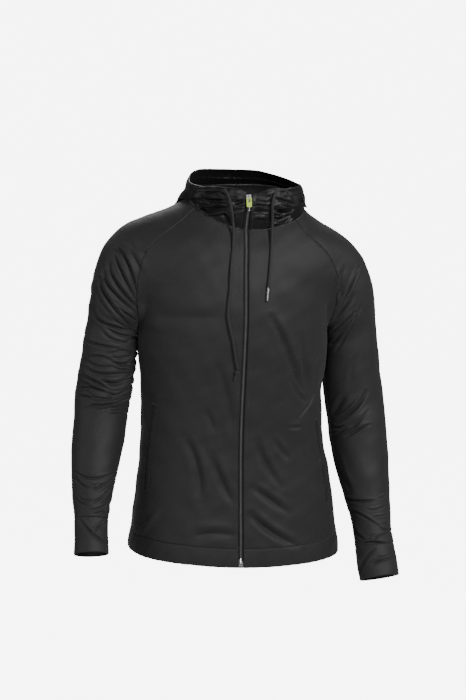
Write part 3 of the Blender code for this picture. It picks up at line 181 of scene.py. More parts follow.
def reckon(tree, operation, *values):
    """A Math node fed with sockets and numbers, giving its output socket."""
    node = tree.nodes.new("ShaderNodeMath")
    node.operation = operation
    for slot, value in zip(node.inputs, values):
        if isinstance(value, (int, float)):
            slot.default_value = value
        else:
            tree.links.new(value, slot)
    return node.outputs[0]


def mottle_group():
    """Slow and quick noise in object places, mixed to a value round a half: dye, wear and lint."""
    group, given, out = group_of("mottle", {"Place": None, "Scale": 20.0, "Share of fine": 0.4},
                                 ["Value"])
    values = []
    for factor in (1.0, 9.0):
        noise = group.nodes.new("ShaderNodeTexNoise")
        noise.inputs["Detail"].default_value = 3.0
        group.links.new(given.outputs["Place"], noise.inputs["Vector"])
        group.links.new(reckon(group, "MULTIPLY", given.outputs["Scale"], factor), noise.inputs["Scale"])
        values.append(noise.outputs["Fac"])
    quick = reckon(group, "MULTIPLY", values[1], given.outputs["Share of fine"])
    rest = reckon(group, "SUBTRACT", 1.0, given.outputs["Share of fine"])
    slow = reckon(group, "MULTIPLY", values[0], rest)
    group.links.new(reckon(group, "ADD", quick, slow), out.inputs["Value"])
    return group


MOTTLE = mottle_group()


def mottled(nodes, links, scale, quick):
    """Place the mottle group on object places and give its value."""
    place = nodes.new("ShaderNodeTexCoord")
    node = nodes.new("ShaderNodeGroup")
    node.node_tree = MOTTLE
    node.inputs["Scale"].default_value = scale
    node.inputs["Share of fine"].default_value = quick
    links.new(place.outputs["Object"], node.inputs["Place"])
    return node.outputs["Value"]


def shade(nodes, links, value, low, high):
    """A colour between two, chosen by a value."""
    mix = nodes.new("ShaderNodeMix")
    mix.data_type = "RGBA"
    links.new(value, mix.inputs["Factor"])
    mix.inputs[6].default_value = (*low, 1)
    mix.inputs[7].default_value = (*high, 1)
    return mix.outputs[2]


def spread(nodes, links, value, low, high):
    """A value from 0 to 1 carried to another range."""
    node = nodes.new("ShaderNodeMapRange")
    links.new(value, node.inputs["Value"])
    node.inputs["To Min"].default_value = low
    node.inputs["To Max"].default_value = high
    return node.outputs["Result"]


def raised(nodes, links, shader, height, distance, strength):
    """Feed a height into the shader's normal through a Bump node."""
    bump = nodes.new("ShaderNodeBump")
    bump.inputs["Distance"].default_value = distance
    bump.inputs["Strength"].default_value = strength
    links.new(height, bump.inputs["Height"])
    links.new(bump.outputs["Normal"], shader.inputs["Normal"])


def braid_finish():
    """Black braid: strands cross in the cloth's own places, painted paler as a highlight where they stand
    up and darker as shade between them.
    """
    made, nodes, links, shader = finish_with("cord_braid", (0.02, 0.02, 0.021), 0.7, Sheen_Weight=0.12,
                                             Sheen_Roughness=0.4)
    place = nodes.new("ShaderNodeUVMap")
    place.uv_map = "cloth"
    parts = nodes.new("ShaderNodeSeparateXYZ")
    links.new(place.outputs["UV"], parts.inputs["Vector"])
    tree = made.node_tree
    round_ = reckon(tree, "MULTIPLY", parts.outputs["X"], STRANDS_ROUND / CORD_RADIUS)
    along = reckon(tree, "MULTIPLY", parts.outputs["Y"], 2 * np.pi / STRAND_STEP)
    one = reckon(tree, "SINE", reckon(tree, "ADD", round_, along))
    two = reckon(tree, "SINE", reckon(tree, "SUBTRACT", round_, along))
    strand_relief_and_painted_shade = reckon(tree, "MULTIPLY_ADD", reckon(tree, "MAXIMUM", one, two), 0.5, 0.5)
    # Painted highlight and shade: the strands' raised tops are painted paler and the hollows between them
    # darker.
    links.new(shade(nodes, links, strand_relief_and_painted_shade, (0.005, 0.005, 0.0055), (0.030, 0.030, 0.031)),
              shader.inputs["Base Color"])
    raised(nodes, links, shader, strand_relief_and_painted_shade, 0.0002, 0.6)
    return made


BRAID = braid_finish()
routes = {side: through(route, int(np.linalg.norm(np.diff(route, axis=0), axis=1).sum() / RING_STEP))
          for side, route in (("right", CORD_RIGHT), ("left", CORD_LEFT))}
cords = {side: carry(side + "_drawcord", routes[side], CORD_RADIUS, 24, BRAID, relief=BRAID_RELIEF)
         for side in routes}

# The knot: the braid pulled round itself along a trefoil, the sum of a circle and of a larger one run
# twice as fast the other way, then a short tail that hangs away to the side.
KNOT_CENTRE = np.array((-0.0137, -0.1186, -0.2862))
KNOT_SIZE = 0.00092       # radius of the trefoil's smaller circle
KNOT_RADIUS = 0.00180     # radius of the braid where it is pulled tight
KNOT_RELIEF = 0.00018
TAIL_RADIUS = (0.0021, 0.0021, 0.0012)
KNOT_TAIL = np.array([(-0.0140, -0.1186, -0.2880), (-0.0158, -0.1180, -0.2920),
                      (-0.0174, -0.1176, -0.2965), (-0.0186, -0.1173, -0.3000)])
knot_turn = np.linspace(0, 2 * np.pi, 121)[:-1]
trefoil = np.stack([np.sin(knot_turn) + 2 * np.sin(2 * knot_turn), 0.8 * np.sin(3 * knot_turn),
                    np.cos(knot_turn) - 2 * np.cos(2 * knot_turn)], axis=-1)
knot_path = KNOT_CENTRE + KNOT_SIZE * np.r_[trefoil, trefoil[:1]]
knot = carry("right_cord_knot", knot_path, KNOT_RADIUS, 18, BRAID, relief=KNOT_RELIEF)
tail = carry("right_cord_tail", through(KNOT_TAIL, 30),
             np.interp(np.arange(30), (0, 26, 29), TAIL_RADIUS), 18, BRAID, relief=KNOT_RELIEF)

# The metal tip: a rolled tube of dull nickel, crimped on the braid near both of its ends.
TIP_START, TIP_END = np.array((0.0396, -0.1153, -0.1445)), np.array((0.0375, -0.1186, -0.1665))
TIP_PROFILE = np.array([
    # share  radius
    (0.000, 0.00215), (0.015, 0.00235), (0.100, 0.00230), (0.150, 0.00192), (0.200, 0.00226),
    (0.250, 0.00226), (0.300, 0.00192), (0.350, 0.00226), (0.860, 0.00220), (0.950, 0.00200),
    (0.990, 0.00165), (1.000, 0.00110)])


def worn_finish(name, colour, roughness, scale, low, high, gloss, relief, **sockets):
    """A finish worn by hands and cloth: one mottle of the given scale moves the colour between two, the
    roughness between the two of gloss, if they are given, and raises the surface a little."""
    made, nodes, links, shader = finish_with(name, colour, roughness, **sockets)
    worn = mottled(nodes, links, scale, 0.5)
    links.new(shade(nodes, links, worn, low, high), shader.inputs["Base Color"])
    if gloss:
        links.new(spread(nodes, links, worn, *gloss), shader.inputs["Roughness"])
    raised(nodes, links, shader, worn, *relief)
    return made


NICKEL = worn_finish("nickel_plate", (0.52, 0.52, 0.53), 0.3, 260.0, (0.42, 0.42, 0.43),
                     (0.62, 0.62, 0.63), (0.16, 0.44), (0.00003, 0.4), Metallic=1.0)
tip_share = np.unique(np.r_[np.linspace(0, 1, 40), TIP_PROFILE[:, 0]])
tip = carry("left_cord_tip", TIP_START + tip_share[:, None] * (TIP_END - TIP_START),
            np.interp(tip_share, TIP_PROFILE[:, 0], TIP_PROFILE[:, 1]), 32, NICKEL)

for piece, node, kind in ((cords["right"], "drawcord_right", "braided_cord"),
                          (cords["left"], "drawcord_left", "braided_cord"),
                          (knot, "cord_knot_right", "braided_cord"), (tail, None, "braided_cord"),
                          (tip, "cord_tip_left", "dull_nickel")):
    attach(piece, "jacket")
    if node:
        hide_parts(node)


# ------------ fronts
# Two fronts of matte black warp-knit tricot, 1 mm thick, each sewn to the zip tape, the side of the
# back, the sleeve's raglan and the hood, with a line of stitches beside each seam.
ZIP_HALF = 0.0045         # half the open width between the two fronts
BAND = 0.034              # height of the hem band
CHEST = -0.235            # height on the zip of the row that meets the underarm
NECK_CENTRE = 0.0215      # middle of the neck opening, across
NECK_HALF = 0.0925        # half width of the neck opening
NECK_FRONT = 0.0715       # depth of the neckline in front of the middle
NECK_BACK = 0.0760        # depth of the neckline behind the middle
SQUARENESS = 2.35         # exponent of the rounded sections, 2 would be an ellipse
SHOULDER_FILL = 0.060     # how softly the sleeves run into the body
OUTSIDE = 0.16            # a point this far in front or behind is clear of the cloth
FRONT_COLUMNS = 11        # from the zip to the side seam, in the coarse grid
BODY_ROWS = 14            # from the hem band up to the underarm
YOKE_ROWS = 11            # from the underarm up to the neckline
FRONT_FINE = (240, 64)    # rows and columns of a finished front

# Trunk sections, from the hem up: height, middle, half width, depth in front and behind.
TRUNK = np.array([
    # z      centre  half    front   back
    (-0.660, 0.001, 0.1900, 0.1180, 0.1180),
    (-0.625, 0.000, 0.1875, 0.1175, 0.1165),
    (-0.560, 0.000, 0.1790, 0.1150, 0.1110),
    (-0.474, 0.000, 0.1680, 0.1090, 0.1020),
    (-0.431, -0.003, 0.1610, 0.1075, 0.0985),
    (-0.387, -0.003, 0.1590, 0.1080, 0.0965),
    (-0.333, -0.0035, 0.1585, 0.1110, 0.0975),
    (-0.285, -0.001, 0.1635, 0.1150, 0.1020),
    (-0.235, -0.002, 0.1655, 0.1185, 0.1090),
    (-0.185, -0.001, 0.1660, 0.1180, 0.1140),
    (-0.140, 0.002, 0.1650, 0.1120, 0.1150),
    (-0.100, 0.008, 0.1620, 0.1000, 0.1110),
    (-0.075, 0.013, 0.1510, 0.0880, 0.1040),
    (-0.060, 0.016, 0.1370, 0.0785, 0.0975),
    (-0.050, 0.018, 0.1230, 0.0720, 0.0925),
    (-0.040, 0.020, 0.1110, 0.0670, 0.0880),
    (-0.030, 0.021, 0.1020, 0.0635, 0.0835),
    (-0.020, 0.021, 0.0950, 0.0610, 0.0795),
    (-0.010, 0.022, 0.0900, 0.0595, 0.0760),
    (0.010, 0.022, 0.0850, 0.0580, 0.0720),
    (0.060, 0.022, 0.0830, 0.0580, 0.0700)])

# Middle line of each sleeve from the neck to beyond the cuff, with the radius of the cloth round it.
ARM_RIGHT = np.array([
    # x       y       z       radius
    (-0.060, 0.006, -0.074, 0.0540),
    (-0.095, 0.006, -0.077, 0.0570),
    (-0.130, 0.006, -0.086, 0.0585),
    (-0.165, 0.006, -0.107, 0.0605),
    (-0.184, 0.006, -0.145, 0.0585),
    (-0.194, 0.006, -0.182, 0.0545),
    (-0.2105, 0.006, -0.217, 0.0425),
    (-0.2140, 0.007, -0.245, 0.0452),
    (-0.2165, 0.010, -0.286, 0.0485),
    (-0.224, 0.012, -0.328, 0.0490),
    (-0.231, 0.002, -0.369, 0.0470),
    (-0.237, -0.012, -0.408, 0.0455),
    (-0.245, -0.030, -0.446, 0.0420),
    (-0.251, -0.048, -0.483, 0.0370),
    (-0.256, -0.066, -0.521, 0.0318),
    (-0.2585, -0.081, -0.552, 0.0282),
    (-0.260, -0.094, -0.580, 0.0290),
    (-0.2610, -0.106, -0.606, 0.0310),
    (-0.2620, -0.124, -0.645, 0.0330)])
ARM_LEFT = np.array([
    (0.085, 0.004, -0.102, 0.0530),
    (0.115, 0.004, -0.112, 0.0560),
    (0.144, 0.004, -0.120, 0.0580),
    (0.172, 0.005, -0.134, 0.0600),
    (0.188, 0.005, -0.163, 0.0595),
    (0.196, 0.006, -0.198, 0.0570),
    (0.2105, 0.007, -0.234, 0.0460),
    (0.2125, 0.008, -0.262, 0.0475),
    (0.2135, 0.010, -0.298, 0.0502),
    (0.2160, 0.012, -0.334, 0.0525),
    (0.2210, 0.008, -0.375, 0.0520),
    (0.2235, -0.002, -0.417, 0.0520),
    (0.2270, -0.012, -0.458, 0.0492),
    (0.2310, -0.026, -0.499, 0.0450),
    (0.2350, -0.042, -0.539, 0.0385),
    (0.2380, -0.058, -0.578, 0.0345),
    (0.2395, -0.071, -0.611, 0.0340),
    (0.2415, -0.083, -0.640, 0.0350),
    (0.2440, -0.095, -0.668, 0.0352),
    (0.2470, -0.108, -0.700, 0.0355)])

# Where the fronts, the back and each sleeve meet.
UNDERARM = {"right": np.array((-0.1670, 0.004, -0.2180)), "left": np.array((0.1640, 0.005, -0.2350))}

# Raglan seams from the underarm to the neckline. All their points but the first are moved straight
# back, or straight forward, until they meet the cloth.
RAGLANS = {
    ("right", "front"): np.array([
        # x       y       z
        (-0.1700, -0.030, -0.2080),
        (-0.1725, -0.046, -0.1860),
        (-0.1735, -0.060, -0.1560),
        (-0.1715, -0.072, -0.1280),
        (-0.1640, -0.080, -0.0980),
        (-0.1450, -0.082, -0.0700),
        (-0.1130, -0.070, -0.0480)]),
    ("left", "front"): np.array([
        (0.1640, -0.028, -0.2240),
        (0.1680, -0.044, -0.2020),
        (0.1715, -0.060, -0.1720),
        (0.1700, -0.074, -0.1400),
        (0.1610, -0.080, -0.1110),
        (0.1440, -0.082, -0.0860),
        (0.1200, -0.074, -0.0650)]),
    ("right", "back"): np.array([
        (-0.1690, 0.036, -0.2060),
        (-0.1680, 0.056, -0.1820),
        (-0.1610, 0.072, -0.1540),
        (-0.1480, 0.084, -0.1260),
        (-0.1290, 0.090, -0.0960),
        (-0.1060, 0.086, -0.0660),
        (-0.0800, 0.070, -0.0380)]),
    ("left", "back"): np.array([
        (0.1640, 0.036, -0.2230),
        (0.1660, 0.056, -0.1980),
        (0.1620, 0.072, -0.1690),
        (0.1530, 0.084, -0.1400),
        (0.1390, 0.090, -0.1110),
        (0.1220, 0.086, -0.0830),
        (0.1040, 0.070, -0.0560)])}

# Height of the neckline round the neck: 0 is the front, +90 the wearer's left, 180 the back.
NECKLINE = np.array([
    # angle   z
    (-180, -0.0130),
    (-135, -0.0080),
    (-100, -0.0110),
    (-80, -0.0170),
    (-60, -0.0270),
    (-35, -0.0430),
    (-10, -0.0510),
    (20, -0.0515),
    (45, -0.0480),
    (65, -0.0400),
    (85, -0.0300),
    (105, -0.0220),
    (135, -0.0150),
    (180, -0.0130)])
RAGLAN_TOPS = {("right", "front"): -66, ("left", "front"): 52,
               ("right", "back"): -126, ("left", "back"): 122}

# Line of the zip down the front, and the line of the hem band's lower edge.
ZIP_LINE = np.array([
    # z      x
    (-0.640, -0.0070),
    (-0.590, -0.0068),
    (-0.500, -0.0060),
    (-0.400, -0.0050),
    (-0.300, -0.0022),
    (-0.200, 0.0012),
    (-0.120, 0.0035),
    (-0.050, 0.0096),
    (0.020, 0.0138)])
HEM = np.array([
    # x      z
    (-0.190, -0.6130),
    (-0.100, -0.6195),
    (0.000, -0.6270),
    (0.100, -0.6290),
    (0.190, -0.6300)])


def ramp(value, start, end):
    """0 before start, 1 after end, with a soft step between."""
    t = np.clip((value - start) / (end - start), 0, 1)
    return t * t * (3 - 2 * t)


def trunk_distance(p):
    """Distance outside the trunk, measured from its middle line towards the point."""
    centre, half, front, back = np.moveaxis(smooth(TRUNK, p[..., 2]), -1, 0)
    across = p[..., 0] - centre
    depth = np.where(p[..., 1] < 0, front, back)
    size = (np.abs(across / half) ** SQUARENESS
            + np.abs(p[..., 1] / depth) ** SQUARENESS) ** (1 / SQUARENESS)
    return np.hypot(across, p[..., 1]) * (1 - 1 / np.maximum(size, 1e-6))


def arm_curve(arm, count=56):
    """The sleeve's middle line and radius at many places."""
    chord = np.r_[0, np.cumsum(np.linalg.norm(np.diff(arm[:, :3], axis=0), axis=1))]
    return smooth(np.c_[chord, arm], np.linspace(0, chord[-1], count))


ARM_CURVES = {"right": arm_curve(ARM_RIGHT), "left": arm_curve(ARM_LEFT)}
SIGN = {"right": -1.0, "left": 1.0}


def arm_distance(p, side):
    """Distance outside the tapering tube round the sleeve's middle line."""
    start, end = ARM_CURVES[side][:-1], ARM_CURVES[side][1:]
    along = end[:, :3] - start[:, :3]
    away = p[..., None, :] - start[:, :3]
    t = np.clip((away * along).sum(-1) / (along ** 2).sum(-1), 0, 1)
    radius = start[:, 3] + t * (end[:, 3] - start[:, 3])
    return (np.linalg.norm(away - t[..., None] * along, axis=-1) - radius).min(axis=-1)


def joined(a, b, fill):
    """Join two distances, with the corner between them filled by a soft curve."""
    overlap = np.clip(fill - np.abs(a - b), 0, None)
    return np.minimum(a, b) - overlap ** 2 / (4 * fill)


def form(p, piece):
    """Distance outside the clothed form without folds: the trunk, one arm, or the whole yoke."""
    if piece == "trunk":
        return trunk_distance(p)
    if piece.startswith("arm"):
        return arm_distance(p, piece.split("_")[1])
    whole = trunk_distance(p)
    for arm in ("right", "left"):
        under = UNDERARM[arm][2]
        fill = 0.002 + SHOULDER_FILL * ramp(p[..., 2], under + 0.010, under + 0.110)
        same_side = SIGN[arm] * p[..., 0] > 0
        whole = np.where(same_side, joined(whole, arm_distance(p, arm), fill), whole)
    return whole


def slope(p, piece, step=0.0008):
    """Outward direction of the form, with its steepness, from differences along each axis."""
    parts = [form(p + step * axis, piece) - form(p - step * axis, piece) for axis in np.eye(3)]
    return np.stack(parts, axis=-1) / (2 * step)


def settle(p, piece, turns=6, reach=0.012):
    """Newton steps onto the form: each point moves against its slope by distance over steepness."""
    p = np.array(p, float)
    for _ in range(turns):
        steep = slope(p, piece)
        move = form(p, piece)[..., None] * steep
        move /= np.maximum((steep ** 2).sum(-1, keepdims=True), 0.05)
        length = np.linalg.norm(move, axis=-1, keepdims=True)
        p -= move * np.minimum(1, reach / np.maximum(length, 1e-9))
    return p


def land(p, piece, direction, depth=OUTSIDE):
    """Move points along one direction until they meet the cloth from outside."""
    direction = np.asarray(direction, float)
    low = np.zeros(len(p))
    high = np.full(len(p), depth)
    for travel in np.linspace(0, depth, 81):
        inside = form(p + travel * direction, piece) < 0
        first = inside & (high == depth)
        high = np.where(first, travel, high)
    low = np.maximum(high - depth / 80, 0)
    for _ in range(14):
        middle = (low + high) / 2
        inside = form(p + middle[:, None] * direction, piece) < 0
        high = np.where(inside, middle, high)
        low = np.where(inside, low, middle)
    return p + high[:, None] * direction


def neckline(angles):
    """The neckline at the given angles round the neck, 0 in front."""
    angles = (np.asarray(angles, float) + 180) % 360 - 180
    turn = np.radians(angles)
    depth = np.where(np.cos(turn) > 0, NECK_FRONT, NECK_BACK)
    p = np.stack([NECK_CENTRE + NECK_HALF * np.sin(turn), -depth * np.cos(turn),
                  smooth(NECKLINE, angles)[..., 0]], axis=-1)
    return settle(p, "whole")


def raglan(side, face):
    """A raglan seam from the underarm to the neckline, one point for each yoke row."""
    table = RAGLANS[side, face]
    from_outside = -1.0 if face == "front" else 1.0
    middle = table.copy()
    middle[1:, 1] = OUTSIDE * from_outside
    middle[1:] = land(middle[1:], "whole", (0, -from_outside, 0))
    middle[:1] = settle(middle[:1], "whole", turns=3, reach=0.003)
    line = through(np.vstack([UNDERARM[side], middle, neckline([RAGLAN_TOPS[side, face]])]),
                   YOKE_ROWS + 1)
    inner = settle(line[2:-1], "whole", turns=3)
    return np.vstack([line[:2], inner, line[-1:]])


def hem_height(x):
    """Height of the hem band's lower edge."""
    return smooth(HEM, x)[..., 0]


def zip_angle():
    """Angle round the neck where the zip crosses the neckline."""
    return np.degrees(np.arcsin((smooth(ZIP_LINE, -0.05)[0] - NECK_CENTRE) / NECK_HALF))


def zip_points(heights):
    """Points of the zip's middle line on the fronts."""
    p = np.stack([smooth(ZIP_LINE, heights)[..., 0], np.full(len(heights), -OUTSIDE), heights], axis=-1)
    return land(p, "trunk", (0, 1, 0))


def section_angle(p):
    """Angle of a point round its trunk section: 0 at the wearer's left side, 180 degrees at the right."""
    centre, half, front, back = np.moveaxis(smooth(TRUNK, p[..., 2]), -1, 0)
    depth = np.where(p[..., 1] < 0, front, back)
    across = (p[..., 0] - centre) / half
    return np.arctan2(np.abs(p[..., 1] / depth) ** (SQUARENESS / 2),
                      np.sign(across) * np.abs(across) ** (SQUARENESS / 2))


def section_point(angle, z, face):
    """Point of the trunk section at an angle, in front or behind."""
    centre, half, front, back = np.moveaxis(smooth(TRUNK, z), -1, 0)
    depth = -front if face == "front" else back
    power = 2 / SQUARENESS
    x = centre + half * np.sign(np.cos(angle)) * np.abs(np.cos(angle)) ** power
    return np.stack([x, depth * np.abs(np.sin(angle)) ** power, z], axis=-1)


def size_in_section(p):
    """How far out a point is in its section, 1 on the trunk itself."""
    away = np.hypot(p[..., 0] - smooth(TRUNK, p[..., 2])[..., 0], p[..., 1])
    return away / np.maximum(away - trunk_distance(p), 1e-6)


def between(start, end, columns, face):
    """Rows of points round the trunk from one edge to the other."""
    t = np.linspace(0, 1, columns + 1)[None, :]
    angle = section_angle(start)[:, None] * (1 - t) + section_angle(end)[:, None] * t
    z = start[:, 2, None] * (1 - t) + end[:, 2, None] * t
    size = size_in_section(start)[:, None] * (1 - t) + size_in_section(end)[:, None] * t
    p = section_point(angle, z, face)
    centre = smooth(TRUNK, z)[..., 0]
    p[..., 0] = centre + (p[..., 0] - centre) * size
    p[..., 1] *= size
    p[:, 0], p[:, -1] = start, end
    return p


def lay(grid, rows_below, below, top, turns=5):
    """Bring the top row to the neckline, even out the inner points and lay them on the cloth."""
    rows = len(grid)
    lift = ramp(np.arange(rows), rows_below + 0.35 * (rows - rows_below), rows - 1)[:, None, None]
    grid = grid + lift * (top - grid[-1])
    low, high = slice(1, rows_below + 1), slice(rows_below + 1, rows - 1)
    for turn in range(turns):
        if turn < turns - 1:
            even = (grid[2:, 1:-1] + grid[:-2, 1:-1] + grid[1:-1, 2:] + grid[1:-1, :-2]) / 4
            weight = 0.6 * ramp(np.arange(1, rows - 1), rows_below - 3, rows_below + 2)[:, None, None]
            grid[1:-1, 1:-1] += weight * (even - grid[1:-1, 1:-1])
        grid[low, 1:-1] = settle(grid[low, 1:-1], below, turns=2)
        grid[high, 1:-1] = settle(grid[high, 1:-1], "whole", turns=2)
    return grid


def side_edge(side):
    """Side seam from the hem band up to the underarm."""
    bottom = hem_height(1.1 * UNDERARM[side][0]) + BAND
    z = np.linspace(bottom, UNDERARM[side][2], BODY_ROWS + 1)
    centre, half = smooth(TRUNK, z)[:, 0], smooth(TRUNK, z)[:, 1]
    p = np.stack([centre + SIGN[side] * half, np.full(len(z), UNDERARM[side][1]), z], axis=-1)
    p = settle(p, "trunk", turns=3)
    p[-1] = UNDERARM[side]
    return p


def front_grid(side):
    """One front: rows from the zip to the side seam, and higher up to the raglan seam."""
    outer = np.vstack([side_edge(side), raglan(side, "front")[1:]])
    neck = neckline([zip_angle()])[0]
    low = np.linspace(hem_height(0.0) + BAND, CHEST, BODY_ROWS + 1)
    high = np.linspace(CHEST, neck[2], YOKE_ROWS + 1)[1:]
    inner = zip_points(np.r_[low, high])
    inner[:, 0] += SIGN[side] * ZIP_HALF
    inner[:-1] = settle(inner[:-1], "trunk", turns=3)
    angles = np.linspace(zip_angle(), RAGLAN_TOPS[side, "front"], FRONT_COLUMNS + 1)
    top = neckline(angles)
    top[0] = inner[-1]
    top[-1] = outer[-1]
    grid = between(inner, outer, FRONT_COLUMNS, "front")
    grid[0, :, 2] = hem_height(grid[0, :, 0]) + BAND
    grid[0] = settle(grid[0], "trunk", turns=3)
    return lay(grid, BODY_ROWS, "trunk", top)


# Creases as bent lines on the front view: steps across and down of the line's two ends and of its
# middle, where one step is 1.72 mm on the jacket, then the trough's half width and depth in mm.
# A negative depth is a ridge.
VIEW_MIDDLE = (233.0, 350.0)
VIEW_DEPTH = 1750.0       # steps on the view for a thing as wide as it is far away
VIEW_STEP = 1.72          # mm
CREASES = {
    "arm_right": np.array([
        (127, 246, 135, 260, 141, 274, 4.0, 1.8), (136, 240, 142, 250, 148, 258, 3.6, 1.2),
        (116, 248, 126.5, 261, 136, 293, 2.6, 3.6), (114.5, 256, 120, 269, 133.5, 298, 2.4, 3.4),
        (109.5, 263, 115, 281, 137, 309, 2.6, 3.6), (105, 272, 110, 288, 136.5, 314, 2.6, 3.4),
        (101, 278, 106, 297, 129, 326, 2.8, 3.8), (118, 308, 128, 315, 138, 322, 1.6, 1.8),
        (97, 289, 101, 302, 111, 315, 2.2, 1.6), (93.5, 306, 103, 322.5, 138.5, 332, 2.4, 3.6),
        (112, 318, 122, 325, 134, 330, 1.6, 1.6), (104, 325, 119, 334.5, 139, 336.5, 1.8, 2.6),
        (101, 329, 111, 339, 128, 343.5, 2.2, 2.6), (127, 342, 132, 338.5, 140, 338, 1.8, 2.8),
        (86, 340, 98, 345, 124, 350, 2.2, 2.6), (128, 352, 134, 352, 139.5, 351, 1.5, 2.0),
        (109, 355, 118, 351.5, 131, 352, 2.0, 2.2), (113, 356.5, 121, 358.5, 133, 354, 1.7, 1.8),
        (113, 363, 126, 364, 138.5, 356.5, 2.4, 3.4), (90, 358.5, 100, 357, 113, 362, 2.4, 2.0),
        (86, 360, 97, 366.5, 113, 367, 2.4, 1.5), (112, 366, 122, 370, 134, 368, 1.8, 2.0),
        (126, 363, 131, 366, 136, 367, 1.6, 2.0), (88, 369, 104, 375, 134, 372, 3.0, 2.4),
        (80, 373.5, 96, 382, 110, 391, 2.0, 3.6), (102, 381, 118, 384, 136, 374, 3.6, 4.2),
        (107, 391, 119, 395, 136.5, 381, 2.0, 3.4), (80, 380, 92, 386.5, 104, 391, 1.7, 2.8),
        (76, 388.5, 93, 388, 110, 395.5, 1.7, 3.2), (108, 395, 119, 397.5, 129, 393, 1.4, 2.2),
        (87, 391, 101, 398.5, 123, 397.5, 1.6, 2.8), (79, 396, 89, 397, 103, 401.5, 1.7, 2.8),
        (91, 406, 111, 405.5, 130, 400.5, 3.0, 4.2), (85, 409, 91, 406.5, 98, 403.5, 1.5, 1.8),
        (107, 408, 116, 410.5, 127, 407, 1.5, 2.0), (111, 414.5, 120, 413.5, 130, 414, 1.6, 1.6),
        (75, 471, 93, 478.5, 117, 471.5, 1.6, 2.2), (75, 477, 83, 485.5, 93, 486.5, 1.6, 2.0),
        (91, 490, 104, 485, 116, 477.5, 1.6, 2.4), (85, 483.5, 97, 485, 108, 481.5, 1.5, 1.0),
        (92, 503, 103, 496.5, 114, 485, 1.6, 2.2), (79, 497, 85, 500.5, 94, 499, 1.5, 1.4),
        (75, 498, 80, 502.5, 88, 506, 1.5, 1.8), (102, 514, 107, 510.5, 111, 502, 1.9, 2.8),
        (94, 514, 100, 512.5, 107, 509.5, 1.7, 1.8), (88, 510, 97, 509, 106, 505, 1.6, 1.0)]),
    "arm_left": np.array([
        (359.5, 267, 350.5, 286.5, 338, 308, 2.0, 3.8), (345, 267, 341, 283, 341, 297, 3.5, 2.4),
        (353, 296, 344, 307, 333, 320, 4.2, 3.8), (355, 311.5, 344, 321.5, 330.5, 333, 1.8, 3.2),
        (361, 305, 351, 327, 335, 352, 1.8, 3.0), (342, 333, 336, 339.5, 330, 346, 2.0, 2.6),
        (357, 355, 352, 368, 350, 384, 3.0, 1.2), (366.5, 391, 354, 409, 333, 423, 2.6, 4.4),
        (345, 396, 338, 406, 331, 418, 4.0, 2.6), (332, 426, 337, 428, 343, 425, 1.8, 3.0),
        (368, 410, 361, 419, 352, 427, 1.7, 2.6), (345, 428.5, 339.5, 433, 333, 438.5, 1.8, 2.4),
        (369, 425, 358, 429.5, 346, 437, 2.0, 3.4), (336, 455, 341, 472, 350, 491, 4.0, 2.2),
        (345.5, 496, 354, 500.5, 374, 501, 1.9, 3.6), (350, 509.5, 363, 516, 381, 528, 1.7, 3.0),
        (380, 528, 386, 530, 393, 531.5, 1.6, 2.0), (353.5, 525, 357, 533, 364.5, 539.5, 1.9, 3.2),
        (360, 545, 372, 542.5, 386, 544, 1.9, 3.6), (373, 539, 380, 535.5, 388, 533.5, 1.6, 2.2),
        (368, 538, 374, 535.5, 379, 533, 1.4, 1.2), (359, 551, 364, 553, 370, 552, 2.2, 3.0),
        (366, 560, 374, 549.5, 390, 546, 1.8, 2.8), (380, 498, 384, 496.5, 388, 493, 1.4, 1.8),
        (365, 508, 374, 510, 386, 505.5, 1.4, 1.4), (372, 517.5, 379, 516.5, 386, 515.5, 1.3, 1.2),
        (376, 519.5, 380, 519.3, 386, 519, 1.3, 1.2), (384, 523, 387, 523.5, 391, 523, 1.3, 1.6)]),
    "trunk": np.array([
        (154, 315, 190, 318, 224, 317, 11.0, 1.6), (272, 318, 288, 352, 302, 400, 5.0, 3.4),
        (290, 372, 296, 391, 306, 401, 2.6, 2.2), (301, 335, 304, 362, 306, 389, 4.5, 2.8),
        (319, 350, 316.5, 358, 313, 367, 1.6, 2.0), (315, 383, 311, 401, 298, 418, 1.6, 2.8),
        (289, 427, 296, 427.5, 302, 427, 2.6, 1.6), (258, 442, 266, 464, 280, 487, 5.0, 3.2),
        (275, 440, 281, 450, 288, 459, 4.0, 2.0), (251, 515, 271, 532, 297, 546, 5.0, 4.4),
        (254, 488, 270, 500, 288, 513, 5.0, 3.2), (185, 438, 197, 468, 200, 502, 6.0, 3.0),
        (206, 410, 210, 420, 213, 431, 4.5, 1.6), (211, 455, 222, 483, 232, 503, 5.5, 3.2),
        (217, 362, 226, 393, 232, 429, 7.0, 2.4), (139, 535, 149, 523, 159, 511, 4.5, -2.2),
        (195, 536, 215, 534, 236, 536, 6.5, 2.4)])}

